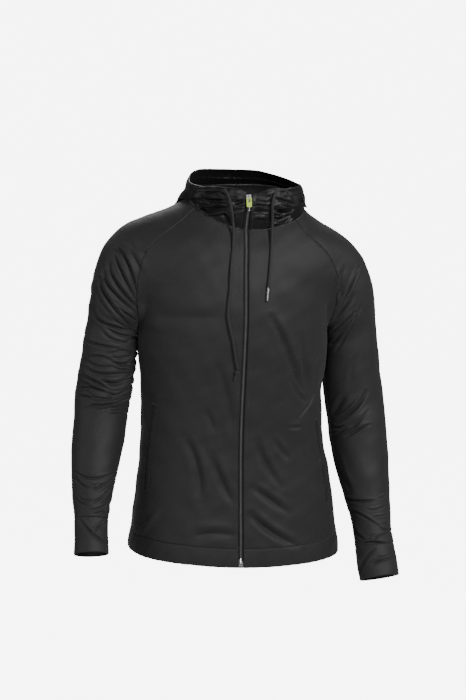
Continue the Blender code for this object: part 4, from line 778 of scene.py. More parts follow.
# Creases behind, in mm: the line's two ends and its middle across and up, half width and height.
CREASES_BEHIND = {
    "arm_right": np.array([
        (-214, -115, -195, -160, -172, -190, 7.0, -5.0),
        (-240, -140, -214, -178, -188, -210, 6.0, -3.8),
        (-246, -165, -216, -215, -170, -236, 7.0, -5.8),
        (-258, -236, -222, -262, -176, -270, 6.0, -3.6),
        (-262, -292, -224, -316, -178, -318, 6.5, -4.0),
        (-268, -345, -232, -362, -190, -352, 7.0, -5.4),
        (-283, -420, -250, -434, -212, -428, 7.0, -2.8),
        (-283, -480, -255, -492, -222, -482, 6.0, -3.4),
        (-284, -512, -260, -522, -232, -514, 5.5, -3.0)]),
    "arm_left": np.array([
        (214, -135, 190, -185, 166, -222, 7.0, -5.6),
        (234, -160, 206, -212, 176, -240, 6.0, -4.0),
        (244, -190, 214, -240, 174, -262, 7.0, -5.0),
        (254, -300, 226, -330, 186, -344, 7.0, -3.4),
        (262, -360, 228, -384, 184, -376, 7.0, -6.2),
        (268, -412, 236, -428, 196, -414, 6.5, -4.0),
        (270, -520, 240, -532, 204, -522, 6.0, -3.4),
        (274, -560, 240, -572, 206, -560, 6.0, -4.4)]),
    "trunk": np.array([
        (-120, -210, -75, -260, -50, -330, 12.0, -4.6),
        (122, -220, 80, -270, 55, -345, 12.0, -4.6),
        (-125, -360, -60, -392, 10, -388, 10.0, -4.6),
        (128, -400, 70, -424, 0, -430, 10.0, -4.6),
        (-110, -440, -50, -468, 30, -472, 9.0, 3.6),
        (-130, -490, -70, -510, -20, -508, 9.0, -3.0),
        (132, -470, 90, -490, 40, -494, 9.0, -3.0),
        (60, -500, 85, -545, 95, -585, 10.0, -4.0)])}

# What turns the rows of the two kinds of table into millimetres across and down. The last two numbers
# make the folds narrower or deeper than their tables say.
WIDTH_BEFORE, DEPTH_BEFORE = 1, 1.65
WIDTH_BEHIND, DEPTH_BEHIND = 0.7, 1.5
IN_STEPS = np.array([VIEW_STEP] * 6 + [WIDTH_BEFORE, DEPTH_BEFORE])
IN_MM = np.array([1, -1] * 3 + [WIDTH_BEHIND, -DEPTH_BEHIND])
RIDGE_ABOVE, RIDGE_BELOW = 0.42, 0.16  # ridges beside a trough, as shares of its depth

# Slow swells: direction, wave length, phase and height of each sine.
SWELLS = np.array([
    # x     y     z     length phase height
    (0.30, 0.20, 1.00, 0.052, 0.4, 0.00024),
    (0.80, -0.30, 0.60, 0.041, 2.1, 0.00022),
    (-0.70, 0.40, 0.75, 0.035, 4.0, 0.00018),
    (0.15, 0.90, 0.45, 0.061, 1.2, 0.00024),
    (-0.35, -0.30, 1.00, 0.023, 5.2, 0.00009),
    (0.95, 0.25, 0.30, 0.027, 3.3, 0.00009)])
CLOTH_WALL = 0.0010       # thickness of one layer of tricot in the fine model
SEAM_STEPS = (0.0, 0.0004, 0.0009, 0.0014, 0.0019, 0.0025, 0.0033, 0.0045, 0.0062)
BESIDE = 0.0019           # distance of the seam's stitch line from the seam
BESIDE_HEM = 0.0045       # distance of the stitches above the hem band
BESIDE_ZIP = 0.0062       # distance of the stitches beside the zip
PUCKER, PUCKER_DRIFT = 0.0086, 0.041  # length of a pucker, and of the slow change in that length


def seen(p):
    """Where points lie on the front view, in steps across and down: their offsets from the camera to
    the right and downwards, divided by how far ahead of it they are."""
    ahead = np.array([np.sin(TURN) * np.cos(TILT), np.cos(TURN) * np.cos(TILT), -np.sin(TILT)])
    right = np.array([np.cos(TURN), -np.sin(TURN), 0.0])
    off = p - np.array(camera.location)
    places = np.stack([off @ right, -(off @ np.cross(right, ahead))], axis=-1)
    return VIEW_MIDDLE + VIEW_DEPTH * places / (off @ ahead)[..., None]


def crease(flat, row):
    """A bent line pressed into the cloth, in mm across and down: a trough with steep sides, a low
    ridge on either side, the higher one above it, all fading towards the line's ends."""
    start, middle, end = row[:6].reshape(3, 2)
    width, depth = row[6:]
    t = np.linspace(0, 1, 13)[:, None]
    line = start * (1 - t) * (1 - 2 * t) + middle * 4 * t * (1 - t) + end * t * (2 * t - 1)
    best = np.full(flat.shape[:-1], 1e9)
    along, above = np.zeros(flat.shape[:-1]), np.zeros(flat.shape[:-1])
    for k, (a, b) in enumerate(zip(line[:-1], line[1:])):
        way = b - a
        up = np.array([way[1], -way[0]]) * (1.0 if way[0] > 0 else -1.0)
        t = np.clip(((flat - a) @ way) / (way @ way), 0, 1)
        off = flat - a - t[..., None] * way
        away = np.linalg.norm(off, axis=-1)
        nearer = away < best
        along = np.where(nearer, (k + t) / (len(line) - 1), along)
        above = np.where(nearer, off @ up, above)
        best = np.minimum(best, away)
    q = best / width
    trough = np.exp(-1.9 * (np.sqrt(q * q + 0.2) - np.sqrt(0.2)))
    ridge = np.where(above > 0, RIDGE_ABOVE, RIDGE_BELOW) * np.exp(-((q - 2.1) / 1.1) ** 2)
    fade = np.sin(np.pi * np.clip(along, 0.02, 0.98)) ** 0.6
    return depth * fade * (ridge - trough) / 1000


def folds(p, piece):
    """Height of the creases of a piece and, above the underarms, of its neighbours as well."""
    height = np.zeros(p.shape[:-1])
    view, flat = seen(p) * VIEW_STEP, p[..., [0, 2]] * (1000, -1000)
    for name in CREASES:
        share = 1.0
        if name != piece:
            arm = (piece if piece != "trunk" else name).split("_")[1]
            share = ramp(p[..., 2], UNDERARM[arm][2] + 0.002, UNDERARM[arm][2] + 0.030)
        middle = 0.0
        if name != "trunk":
            curve = ARM_CURVES[name.split("_")[1]]
            middle = np.interp(-p[..., 2], -curve[:, 2], curve[:, 1])
        depth = p[..., 1] - middle
        before, behind = share * ramp(-depth, -0.024, 0.002), share * ramp(depth, -0.010, 0.014)
        for row in CREASES[name] * IN_STEPS:
            height = height + before * crease(view, row)
        for row in CREASES_BEHIND[name] * IN_MM:
            height = height + behind * crease(flat, row)
    return height


def swell(p):
    """Sum of the slow sines at each point."""
    phase = 2 * np.pi * (p @ (unit(SWELLS[:, :3]) / SWELLS[:, 3:4]).T) + SWELLS[:, 4]
    return (SWELLS[:, 5] * np.sin(phase)).sum(axis=-1)


def lengths(lines):
    """Distance run along each row of points."""
    step = np.linalg.norm(np.diff(lines[..., :3], axis=1), axis=-1)
    return np.concatenate([np.zeros((len(lines), 1)), np.cumsum(step, axis=1)], axis=1)


def spans(grid):
    """Distances run across a grid's rows and up its columns."""
    return lengths(grid), lengths(grid.transpose(1, 0, 2)).T


def spaced(lines, count, start, end):
    """Each row of points taken again along its own cubic: at the stated distances from its two ends,
    and evenly between them."""
    rows = []
    for line, run in zip(lines, lengths(lines)):
        low, high = np.array(start), run[-1] - np.array(end)[::-1]
        even = np.linspace(low[-1], high[0], count)[1:-1]
        rows.append(smooth(np.c_[run, line], np.r_[low, even, high]))
    return np.array(rows)


def fine(grid, rows, columns, bottom=SEAM_STEPS, top=SEAM_STEPS, first=SEAM_STEPS, last=SEAM_STEPS):
    """A coarse panel taken finely: rows and columns close together beside its seams."""
    wide = spaced(grid, columns, first, last)
    tall = spaced(wide.transpose(1, 0, 2), rows, bottom, top)
    return tall.transpose(1, 0, 2)


def faced(grid):
    """Unit vectors square to a grid: its steps along the rows crossed with those up the columns."""
    return unit(np.cross(np.gradient(grid, axis=1), np.gradient(grid, axis=0)))


def grid_normals(grid, tube=0):
    """Normals of a grid that point outwards, the same on both sides of a tube's inner seam."""
    normal = faced(grid)
    if tube:
        normal[:tube, 0] = normal[:tube, -1] = unit(normal[:tube, 0] + normal[:tube, -1])
    sample = grid[::7, ::7]
    return normal * np.sign((normal[::7, ::7] * slope(sample, "whole")).sum())


def seam(d, along, stitch=BESIDE):
    """Cloth beside a seam: it rolls in at the edge, stands up, dips under the stitches and puckers in
    short waves that die out within some millimetres."""
    mm, at = d * 1000, stitch * 1000
    roll = -1.25 * np.exp(-(mm / 1.0) ** 2)
    puff = 0.32 * np.exp(-((mm - 0.62 * at) / (0.30 * at)) ** 2)
    dent = -0.30 * np.exp(-((mm - at) / 0.5) ** 2)
    beat = np.sin(2 * np.pi * along / PUCKER + 1.7 * np.sin(2 * np.pi * along / PUCKER_DRIFT))
    pucker = 0.12 * beat * np.exp(-mm / 6) * (1 - np.exp(-(mm / 0.9) ** 2))
    return (roll + puff + dent + pucker) / 1000


def seams_of(grid, bottom=True, top=True, first=True, last=True):
    """Relief of all the seams round a panel."""
    across, up = spans(grid)
    relief = np.zeros(grid.shape[:2])
    for wanted, d, along in ((first, across, up), (last, across[:, -1:] - across, up),
                             (bottom, up, across), (top, up[-1:] - up, across)):
        if wanted:
            relief = relief + seam(d, along)
    return relief


def shell(name, grid, normal, finish, thickness=CLOTH_WALL, tube=0):
    """A layer of cloth: the outer grid, the same grid moved in by the thickness and the rim between
    them. The first rows of a tube meet themselves. Cloth places are metres from the middle column."""
    rows, columns = grid.shape[:2]
    number = np.arange(rows * columns).reshape(rows, columns)
    number[:tube, -1] = number[:tube, 0]

    def corners(a):
        return np.stack([a[:-1, :-1], a[:-1, 1:], a[1:, 1:], a[1:, :-1]], axis=2)

    across = lengths(grid)
    up = lengths(grid[:, columns // 2][None])[0]
    place = np.stack([across - across[:, columns // 2, None],
                      np.broadcast_to(up[:, None], across.shape)], axis=-1)
    quads, uv = corners(number).reshape(-1, 4), corners(place).reshape(-1, 4, 2)
    middle = rows // 2
    turn = np.cross(grid[middle, 1] - grid[middle, 0], grid[middle + 1, 0] - grid[middle, 0])
    if turn @ normal[middle, 0] < 0:
        quads, uv = quads[:, ::-1], uv[:, ::-1]
    edge = np.stack([quads, np.roll(quads, -1, axis=1)], axis=-1).reshape(-1, 2)
    edge_uv = np.stack([uv, np.roll(uv, -1, axis=1)], axis=2).reshape(-1, 2, 2)
    code = edge[:, 0] * rows * columns + edge[:, 1]
    rim = ~np.isin(code, edge[:, 1] * rows * columns + edge[:, 0])
    a, b = edge[rim].T
    count = rows * columns
    sides = np.stack([b, a, a + count, b + count], axis=-1)
    side_uv = edge_uv[rim][:, [1, 0, 0, 1]]
    every = np.vstack([quads, quads[:, ::-1] + count, sides])
    used, order = np.unique(every, return_inverse=True)
    points = np.vstack([grid.reshape(-1, 3), (grid - thickness * normal).reshape(-1, 3)])
    return put(name, points[used], order.reshape(-1, 4), finish,
               np.concatenate([uv, uv[:, ::-1], side_uv]))


def beside(panel, distance, edge):
    """The line of a panel, given with its normals, at a distance from one of its edges."""
    lines = {"first": panel, "last": panel[:, ::-1], "bottom": panel.transpose(1, 0, 2),
             "top": panel[::-1].transpose(1, 0, 2)}[edge]
    return np.array([looked_up(line, run, distance) for line, run in zip(lines, lengths(lines))])


def bent_rods(spine, width, first, second):
    """Points and faces of many short rods: round each place of each spine six points on a ring, the
    cosine of their turn along one direction and the sine along the other, with both ends closed."""
    turn = 2 * np.pi * np.arange(6) / 6
    ring = np.cos(turn)[:, None] * first[:, None, None] + np.sin(turn)[:, None] * second[:, None, None]
    points = spine[:, :, None] + width[None, :, None, None] * ring
    number = np.arange(points[..., 0].size).reshape(points.shape[:3])
    ahead = np.roll(number, -1, axis=2)
    quads = np.stack([number[:, :-1], ahead[:, :-1], ahead[:, 1:], number[:, 1:]], axis=-1)
    ends = number[:, [0, -1]][..., [[0, 1, 2, 5], [2, 3, 4, 5]]]
    ends[:, 0] = ends[:, 0, :, ::-1]
    return points, np.vstack([quads.reshape(-1, 4), ends.reshape(-1, 4)])


def stitches(name, line, finish, pitch=0.0032, length=0.0025, thick=0.00026, ride="jacket"):
    """A row of thread bows: at every pitch along the line a short bow whose ends dip into the cloth."""
    run = lengths(line[None])[0]
    at = np.arange(pitch / 2, run[-1] - pitch / 3, pitch)
    centre, ahead = looked_up(line[:, :3], run, at), looked_up(line[:, :3], run, at + 0.001)
    out = unit(looked_up(line[:, 3:], run, at))
    along = unit(ahead - centre)
    share = np.array([-0.5, -0.36, 0.0, 0.36, 0.5])
    height = np.array([-1.5, 0.35, 0.9, 0.35, -1.5]) * thick
    width = np.array([0.55, 1.0, 1.0, 1.0, 0.55]) * thick
    spine = (centre[:, None] + share[None, :, None] * length * along[:, None]
             + height[None, :, None] * out[:, None])
    row = put(name, *bent_rods(spine, width, np.cross(along, out), out), finish)
    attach(row, ride)
    return row


KNIT_PITCH = 0.00062      # from one rib of the knit to the next


def knit_group():
    """Warp knit in cloth places: fine ribs with a zigzag, giving a height and a painted shade that follows
    it.
    """
    group, given, out = group_of("tricot_knit", {"Place": None, "Pitch": KNIT_PITCH}, ["Height", "Shade"])
    parts = group.nodes.new("ShaderNodeSeparateXYZ")
    group.links.new(given.outputs["Place"], parts.inputs["Vector"])
    turn = reckon(group, "DIVIDE", 2 * np.pi, given.outputs["Pitch"])
    course = reckon(group, "MULTIPLY", parts.outputs["Y"], turn)
    sway = reckon(group, "MULTIPLY", reckon(group, "SINE", course), 0.9)
    wale = reckon(group, "SINE", reckon(group, "MULTIPLY_ADD", parts.outputs["X"], turn, sway))
    loop = reckon(group, "SINE", reckon(group, "MULTIPLY", course, 2.0))
    height = reckon(group, "MULTIPLY_ADD", loop, 0.35, wale)
    group.links.new(height, out.inputs["Height"])
    group.links.new(reckon(group, "MULTIPLY_ADD", height, 0.37, 0.5), out.inputs["Shade"])
    return group


KNIT = knit_group()


def tricot(name, low, high, roughness=(0.52, 0.64), sheen=0.12, pitch=KNIT_PITCH):
    """Black tricot: shiny ribs painted paler on top and darker in the gaps, mottled by wear in colour and
    gloss.
    """
    made, nodes, links, shader = finish_with(name, low, 0.5, Sheen_Weight=sheen, Sheen_Roughness=0.45,
                                             Specular_IOR_Level=0.34)
    place = nodes.new("ShaderNodeUVMap")
    place.uv_map = "cloth"
    knit = nodes.new("ShaderNodeGroup")
    knit.node_tree = KNIT
    knit.inputs["Pitch"].default_value = pitch
    links.new(place.outputs["UV"], knit.inputs["Place"])
    worn = mottled(nodes, links, 14.0, 0.35)
    tree = made.node_tree
    # The mottle is wear. The knit's share is painted shade, darker in the gaps between the ribs and paler
    # on their tops.
    wear_and_painted_shade = reckon(tree, "MULTIPLY_ADD", worn, 0.9, reckon(tree, "MULTIPLY", knit.outputs["Shade"], 0.35))
    links.new(shade(nodes, links, wear_and_painted_shade, low, high), shader.inputs["Base Color"])
    links.new(spread(nodes, links, worn, *roughness), shader.inputs["Roughness"])
    raised(nodes, links, shader, knit.outputs["Height"], 0.00006, 0.35)
    return made


TRICOT = tricot("black_tricot_cloth", (0.013, 0.013, 0.0135), (0.029, 0.029, 0.030))
THREAD = worn_finish("black_thread", (0.024, 0.024, 0.025), 0.45, 900.0, (0.0144, 0.0144, 0.0150),
                     (0.0360, 0.0360, 0.0375), None, (0.00004, 0.5), Sheen_Weight=0.2)


def laid(grid, piece, tube=0, **edges):
    """A fine panel moved along its normals by folds, swells and seams, with its new normals beside it."""
    normal = grid_normals(grid, tube)
    relief = folds(grid, piece) + swell(grid) + seams_of(grid, **edges)
    if tube:
        relief[:tube, 0] = relief[:tube, -1] = (relief[:tube, 0] + relief[:tube, -1]) / 2
    points = grid + relief[..., None] * normal
    if tube:
        points[:tube, -1] = points[:tube, 0]
    return points, grid_normals(points, tube)


def sew(panel_name, points, normal, rows, **options):
    """Stitch rows of one panel: for each edge and distance, the part of the line that is wanted."""
    both = np.concatenate([points, normal], axis=-1)
    for label, edge, distance, part in rows:
        line = beside(both, distance, edge)
        count = len(line)
        line = line[int(part[0] * count):int(np.ceil(part[1] * count))]
        stitches(f"{panel_name}_stitches_{label}", line, THREAD, **options)


def allowance(name, line):
    """The overlocked edges behind a seam: a strip 8 mm wide along it that dips behind the seam itself."""
    points, out = line[:, :3], unit(line[:, 3:])
    side = unit(np.cross(unit(np.gradient(points, axis=0)), out))
    width = np.array([-0.0040, -0.0030, -0.0015, -0.0005, 0.0005, 0.0015, 0.0030, 0.0040])
    depth = -np.array([0.0009, 0.0007, 0.0008, 0.00125, 0.00125, 0.0008, 0.0007, 0.0009])
    strip = points[None] + width[:, None, None] * side[None] + depth[:, None, None] * out[None]
    piece = shell(name, strip, np.broadcast_to(out[None], strip.shape).copy(), OVERLOCK, thickness=0.0007)
    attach(piece, "jacket")


OVERLOCK = tricot("overlock_edge", (0.010, 0.010, 0.0105), (0.034, 0.034, 0.035), (0.6, 0.8), 0.2, 0.0016)


fronts, front_normals = {}, {}
coarse_fronts = {side: front_grid(side) for side in ("right", "left")}
for side in ("right", "left"):
    points, normal = laid(fine(coarse_fronts[side], *FRONT_FINE), "trunk")
    fronts[side], front_normals[side] = points, normal
    panel = shell("front_panel_" + side, points, normal, TRICOT)
    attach(panel, "jacket")
    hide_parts("front_" + side)
    sew("front_" + side, points, normal, (
        ("seam", "last", BESIDE, (0.0, 1.0)), ("neck", "top", BESIDE, (0.02, 1.0)),
        ("hem", "bottom", BESIDE_HEM, (0.01, 1.0)), ("zip", "first", BESIDE_ZIP, (0.0, 1.0))))
    both = np.concatenate([points, normal], axis=-1)
    allowance("front_allowance_side_" + side, both[:, -1])
    allowance("front_allowance_neck_" + side, both[-1])


# ------------ back
# One panel of the same tricot, cut in one piece from side seam to side seam. It is sewn to the two
# fronts below the arms, to both sleeves along the raglans, and to the hood along the neckline.
BACK_COLUMNS = 18         # from side seam to side seam, in the coarse grid
BACK_FINE = (170, 100)    # rows and columns of the finished back


def back_grid():
    """The back: rows from the wearer's left side to the right, up to the back neckline."""
    left = np.vstack([side_edge("left"), raglan("left", "back")[1:]])
    right = np.vstack([side_edge("right"), raglan("right", "back")[1:]])
    grid = between(left, right, BACK_COLUMNS, "back")
    grid[0, :, 2] = hem_height(grid[0, :, 0]) + BAND
    grid[0, 1:-1] = settle(grid[0, 1:-1], "trunk", turns=3)
    top = neckline(np.linspace(RAGLAN_TOPS["left", "back"], 360 + RAGLAN_TOPS["right", "back"],
                               BACK_COLUMNS + 1))
    top[0], top[-1] = left[-1], right[-1]
    return lay(grid, BODY_ROWS, "trunk", top)


coarse_back = back_grid()
back_points, back_normal = laid(fine(coarse_back, *BACK_FINE), "trunk")
back_panel = shell("back_panel", back_points, back_normal, TRICOT)
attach(back_panel, "jacket")
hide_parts("back")
sew("back", back_points, back_normal, (
    ("left_seam", "first", BESIDE, (0.40, 1.0)), ("right_seam", "last", BESIDE, (0.40, 1.0)),
    ("neck", "top", BESIDE, (0.0, 1.0)), ("hem", "bottom", BESIDE_HEM, (0.0, 1.0))))
both = np.concatenate([back_points, back_normal], axis=-1)
for label, line in (("left", both[100:, 0]), ("right", both[100:, -1]), ("neck", both[-1])):
    allowance("back_allowance_" + label, line)


# ------------ sleeves
# Two raglan sleeves of the same tricot, each one panel that closes on itself under the arm. The lower
# end is sewn to the cuff, and the upper part runs up to the neckline between the raglan seams.
SLEEVE_COLUMNS = 18       # round the arm, in the coarse grid
SLEEVE_ROWS = 26          # from the cuff up to the underarm
SLEEVE_FINE = (430, 88)   # rows and columns of a finished sleeve
CUFF = {"right": 0.054, "left": 0.052}  # height of the turned cuff
CUFF_END = {"right": -0.594, "left": -0.664}  # height of the sleeve's open end on its middle line
OPEN_GAP = 0.0008         # rows whose two ends are nearer than this are closed rings

# Fullness of the sleeve's inner side below the underarm: its height, and how far it swells at most.
UNDERARM_EASE = {"right": (-0.244, 0.0046), "left": (-0.262, 0.0008)}
EASE_REACH = 0.025        # the swell fades this far above and below


def arm_frame(side, at):
    """Middle, radius, direction towards the neck, outward and forward directions along a sleeve."""
    curve = ARM_CURVES[side]
    index = np.arange(len(curve))
    value = looked_up(curve, index, at)
    up = looked_up(-np.gradient(curve[:, :3], axis=0), index, at)
    up /= np.linalg.norm(up, axis=-1, keepdims=True)
    outward = np.stack([SIGN[side] * up[..., 2], 0 * up[..., 0], -SIGN[side] * up[..., 0]], axis=-1)
    outward /= np.linalg.norm(outward, axis=-1, keepdims=True)
    forward = np.cross(up, outward) * SIGN[side]
    forward *= np.sign(-forward[..., 1:2])
    return value[..., :3], value[..., 3], up, outward, forward


def arm_place(side, height):
    """Place along the sleeve's middle line where it has a given height, below the shoulder."""
    curve = ARM_CURVES[side]
    return np.interp(-height, -curve[:, 2], np.arange(len(curve)))


def arm_ring(side, at, start, columns):
    """Rings of points round the sleeve, from an angle all the way round to itself."""
    middle, radius, _, outward, forward = arm_frame(side, at)
    angle = start - 2 * np.pi * np.linspace(0, 1, columns + 1)
    ring = np.cos(angle)[:, None] * outward[:, None] + np.sin(angle)[:, None] * forward[:, None]
    return middle[:, None] + radius[:, None, None] * ring


def sleeve_grid(side):
    """A sleeve: rings from the cuff to the underarm, then open rows from raglan to raglan, each an arc
    whose angle and rise run evenly from one seam to the other."""
    front, back = raglan(side, "front"), raglan(side, "back")
    under = arm_place(side, UNDERARM[side][2])
    cuff = arm_place(side, CUFF_END[side] + CUFF[side])
    at = np.linspace(cuff, under, SLEEVE_ROWS + 1)
    tube = arm_ring(side, at, np.pi, SLEEVE_COLUMNS)
    tube[:, :-1] = settle(tube[:, :-1], "arm_" + side, turns=3)
    tube[:, -1] = tube[:, 0]
    tube[-1, 0] = tube[-1, -1] = UNDERARM[side]
    rows = []
    curve = ARM_CURVES[side][:, :3]
    t = np.linspace(0, 1, SLEEVE_COLUMNS + 1)
    for start, end in zip(front[1:], back[1:]):
        place = np.argmin(np.linalg.norm(curve - (start + end) / 2, axis=1))
        middle, radius, up, outward, forward = arm_frame(side, np.array(float(place)))
        polar = []
        for point in (start, end):
            away = point - middle
            polar.append((np.arctan2(away @ forward, away @ outward),
                          np.hypot(away @ forward, away @ outward), away @ up))
        (angle_f, radius_f, up_f), (angle_b, radius_b, up_b) = polar
        angle_f += 2 * np.pi if angle_f < 0 else 0
        angle_b -= 2 * np.pi if angle_b > 0 else 0
        angle = angle_f + (angle_b - angle_f) * t
        round_ = np.sin(np.pi * t) ** 0.5
        away = (radius_f + (radius_b - radius_f) * t) * (1 - round_) + radius * round_
        rise = up_f + (up_b - up_f) * t
        rows.append(middle + away[:, None] * (np.cos(angle)[:, None] * outward
                                              + np.sin(angle)[:, None] * forward)
                    + rise[:, None] * up)
    yoke = np.array(rows)
    yoke[:, 0], yoke[:, -1] = front[1:], back[1:]
    grid = np.vstack([tube, yoke])
    top = neckline(np.linspace(RAGLAN_TOPS[side, "front"], RAGLAN_TOPS[side, "back"],
                               SLEEVE_COLUMNS + 1))
    top[0], top[-1] = front[-1], back[-1]
    return lay(grid, SLEEVE_ROWS, "arm_" + side, top)


def fine_sleeve(side):
    """The sleeve taken finely: its closed rings first, then its open rows, both with the same columns."""
    tall = fine(sleeve_grid(side), *SLEEVE_FINE)
    gap = np.linalg.norm(tall[:, 0] - tall[:, -1], axis=-1)
    tube = int(np.argmax(gap > OPEN_GAP))
    tall[:tube, -1] = tall[:tube, 0]
    return tall, tube


for side, area in (("right", 0.185), ("left", 0.205)):
    grid, tube = fine_sleeve(side)
    height, most = UNDERARM_EASE[side]
    ease = most * np.exp(-((grid[..., 2] - height) / EASE_REACH) ** 4)
    grid[..., 0] -= SIGN[side] * ease * ramp(-SIGN[side] * grid[..., 0], -0.240, -0.205)
    points, normal = laid(grid, "arm_" + side, tube)
    panel = shell("sleeve_panel_" + side, points, normal, TRICOT, tube=tube)
    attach(panel, "jacket")
    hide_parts("sleeve_" + side)
    share = tube / len(points)
    sew("sleeve_" + side, points, normal, (
        ("front", "first", BESIDE, (share, 1.0)), ("back", "last", BESIDE, (share, 1.0)),
        ("neck", "top", BESIDE, (0.0, 1.0))))
    both = np.concatenate([points, normal], axis=-1)
    allowance("sleeve_allowance_neck_" + side, both[-1])
    allowance("sleeve_allowance_cuff_" + side, both[0])


# ------------ hem band
# A band of two layers of tricot, 34 mm high, folded along its lower edge and sewn all round to the
# fronts and the back. Its two ends are held by the zip.
LOW_STEPS = (0.0, 0.0003, 0.0008, 0.0015, 0.0024, 0.0035)  # rows close together at the folded edge
BAND_FINE = (26, 300)     # rows and columns of the finished band
TURNED_WALL = 0.0024      # two layers of tricot
EDGE_ROLL, EDGE_REACH = 0.0012, 0.0009  # how far the folded edge rolls in, and over what height


def carried_down(line, rows):
    """Rows of points from the panels' lowest line down to the hem's lower edge."""
    low = line.copy()
    low[:, 2] = hem_height(low[:, 0])
    t = np.linspace(0, 1, rows)[:, None, None]
    band = low * (1 - t) + line * t
    band[:-1] = settle(band[:-1], "trunk", turns=3)
    return band


seam_line = np.vstack([coarse_fronts["left"][0], coarse_back[0, 1:], coarse_fronts["right"][0, -2::-1]])
coarse_band = carried_down(seam_line, 6)
coarse_band[..., [0, -1], 0] = np.stack(
    [smooth(ZIP_LINE, coarse_band[:, 0, 2])[:, 0] + ZIP_HALF,
     smooth(ZIP_LINE, coarse_band[:, -1, 2])[:, 0] - ZIP_HALF], axis=-1)
even_band = fine(coarse_band, *BAND_FINE, bottom=LOW_STEPS)
along, up = spans(even_band)
fullness = 0.0009 * np.sin(np.pi * np.clip(up / up[-1:], 0, 1))
turned_edge = -EDGE_ROLL * np.exp(-(up / EDGE_REACH) ** 2)
waver = 0.0005 * np.sin(2 * np.pi * along / 0.019 + np.sin(2 * np.pi * along / 0.073))
relief = (folds(even_band, "trunk") + swell(even_band) + seams_of(even_band, bottom=False) + fullness
          + turned_edge + waver * np.exp(-up / 0.02))
band = even_band + relief[..., None] * grid_normals(even_band)
band_normal = grid_normals(band)
hem = shell("hem_band_cloth", band, band_normal, TRICOT, thickness=TURNED_WALL)
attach(hem, "jacket")
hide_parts("hem_band")
allowance("hem_allowance", np.concatenate([band, band_normal], axis=-1)[-1])


# ------------ cuffs
# Turned ends of the sleeves: two layers of tricot, 52 to 54 mm high, sewn on round the sleeve's mouth
# and creased where the wrist bends.
CUFF_FINE = (40, 120)     # rows and columns of a finished cuff
CUFF_CREASES = {
    "right": np.array([
        (80, 520, 92, 534, 108, 545, 2.4, 2.6),
        (94, 532, 98, 527, 104, 520, 1.8, 1.8),
        (99, 531, 102, 528, 107, 521, 1.6, 1.6)]),
    "left": np.array([
        (361, 575, 363, 563, 374, 549.5, 2.4, 3.4),
        (372, 565, 380, 561, 394, 557, 1.7, 2.2),
        (376, 557, 383, 557, 390, 555, 1.5, 1.2)])}


def tube_relief(points, side, lines):
    """Relief of a cuff: its own creases beside the slow swells."""
    curve = ARM_CURVES[side]
    middle = np.interp(-points[..., 2], -curve[:, 2], curve[:, 1])
    height, flat = swell(points), seen(points) * VIEW_STEP
    before = ramp(middle - points[..., 1], -0.010, 0.010)
    for row in lines * IN_STEPS:
        height = height + crease(flat, row) * before
    return height


for side, flat in (("right", (0.186, 0.054)), ("left", (0.220, 0.052))):
    start = arm_place(side, CUFF_END[side] + CUFF[side])
    end = arm_place(side, CUFF_END[side])
    rings = arm_ring(side, np.linspace(end, start, 7), np.pi, SLEEVE_COLUMNS)
    rings = settle(rings, "arm_" + side, turns=2)
    rings[:, -1] = rings[:, 0]
    rings = fine(rings, *CUFF_FINE, bottom=LOW_STEPS, first=(0.0,), last=(0.0,))
    rows = len(rings)
    normal = grid_normals(rings, rows)
    along, up = spans(rings)
    relief = (tube_relief(rings, side, CUFF_CREASES[side]) + seam(up[-1:] - up, along)
              - EDGE_ROLL * np.exp(-(up / EDGE_REACH) ** 2) + 0.0006 * np.sin(np.pi * up / up[-1:]))
    relief[:, -1] = relief[:, 0]
    cuff = rings + relief[..., None] * normal
    cuff[:, -1] = cuff[:, 0]
    cuff_normal = grid_normals(cuff, rows)
    piece = shell("cuff_cloth_" + side, cuff, cuff_normal, TRICOT, thickness=TURNED_WALL, tube=rows)
    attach(piece, "jacket")
    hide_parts("cuff_" + side)
    sew("cuff_" + side, cuff, cuff_normal, (("seam", "top", 0.0030, (0.0, 1.0)),))


# ------------ hood
# Two halves of tricot sewn along the middle of the back and to the neckline. In front they stand up
# as the collar, gathered beside the zip; behind they fold down into a soft bag. The open edge is
# turned in and stitched 19 mm from it, which makes the tunnel for the cord.
HOOD_COLUMNS = 20         # round the neck, one half, in the coarse grid
HOOD_ROWS = 16            # from the neckline to the hood's open edge
HOOD_FINE = (86, 110)     # rows and columns of a finished half
HOOD_WALL = 0.0012
CLEAR_LOW = 0.0038        # the hood's lower layer rests this far out from the jacket
CLEAR_HIGH = 0.0100       # and its outer layer this far

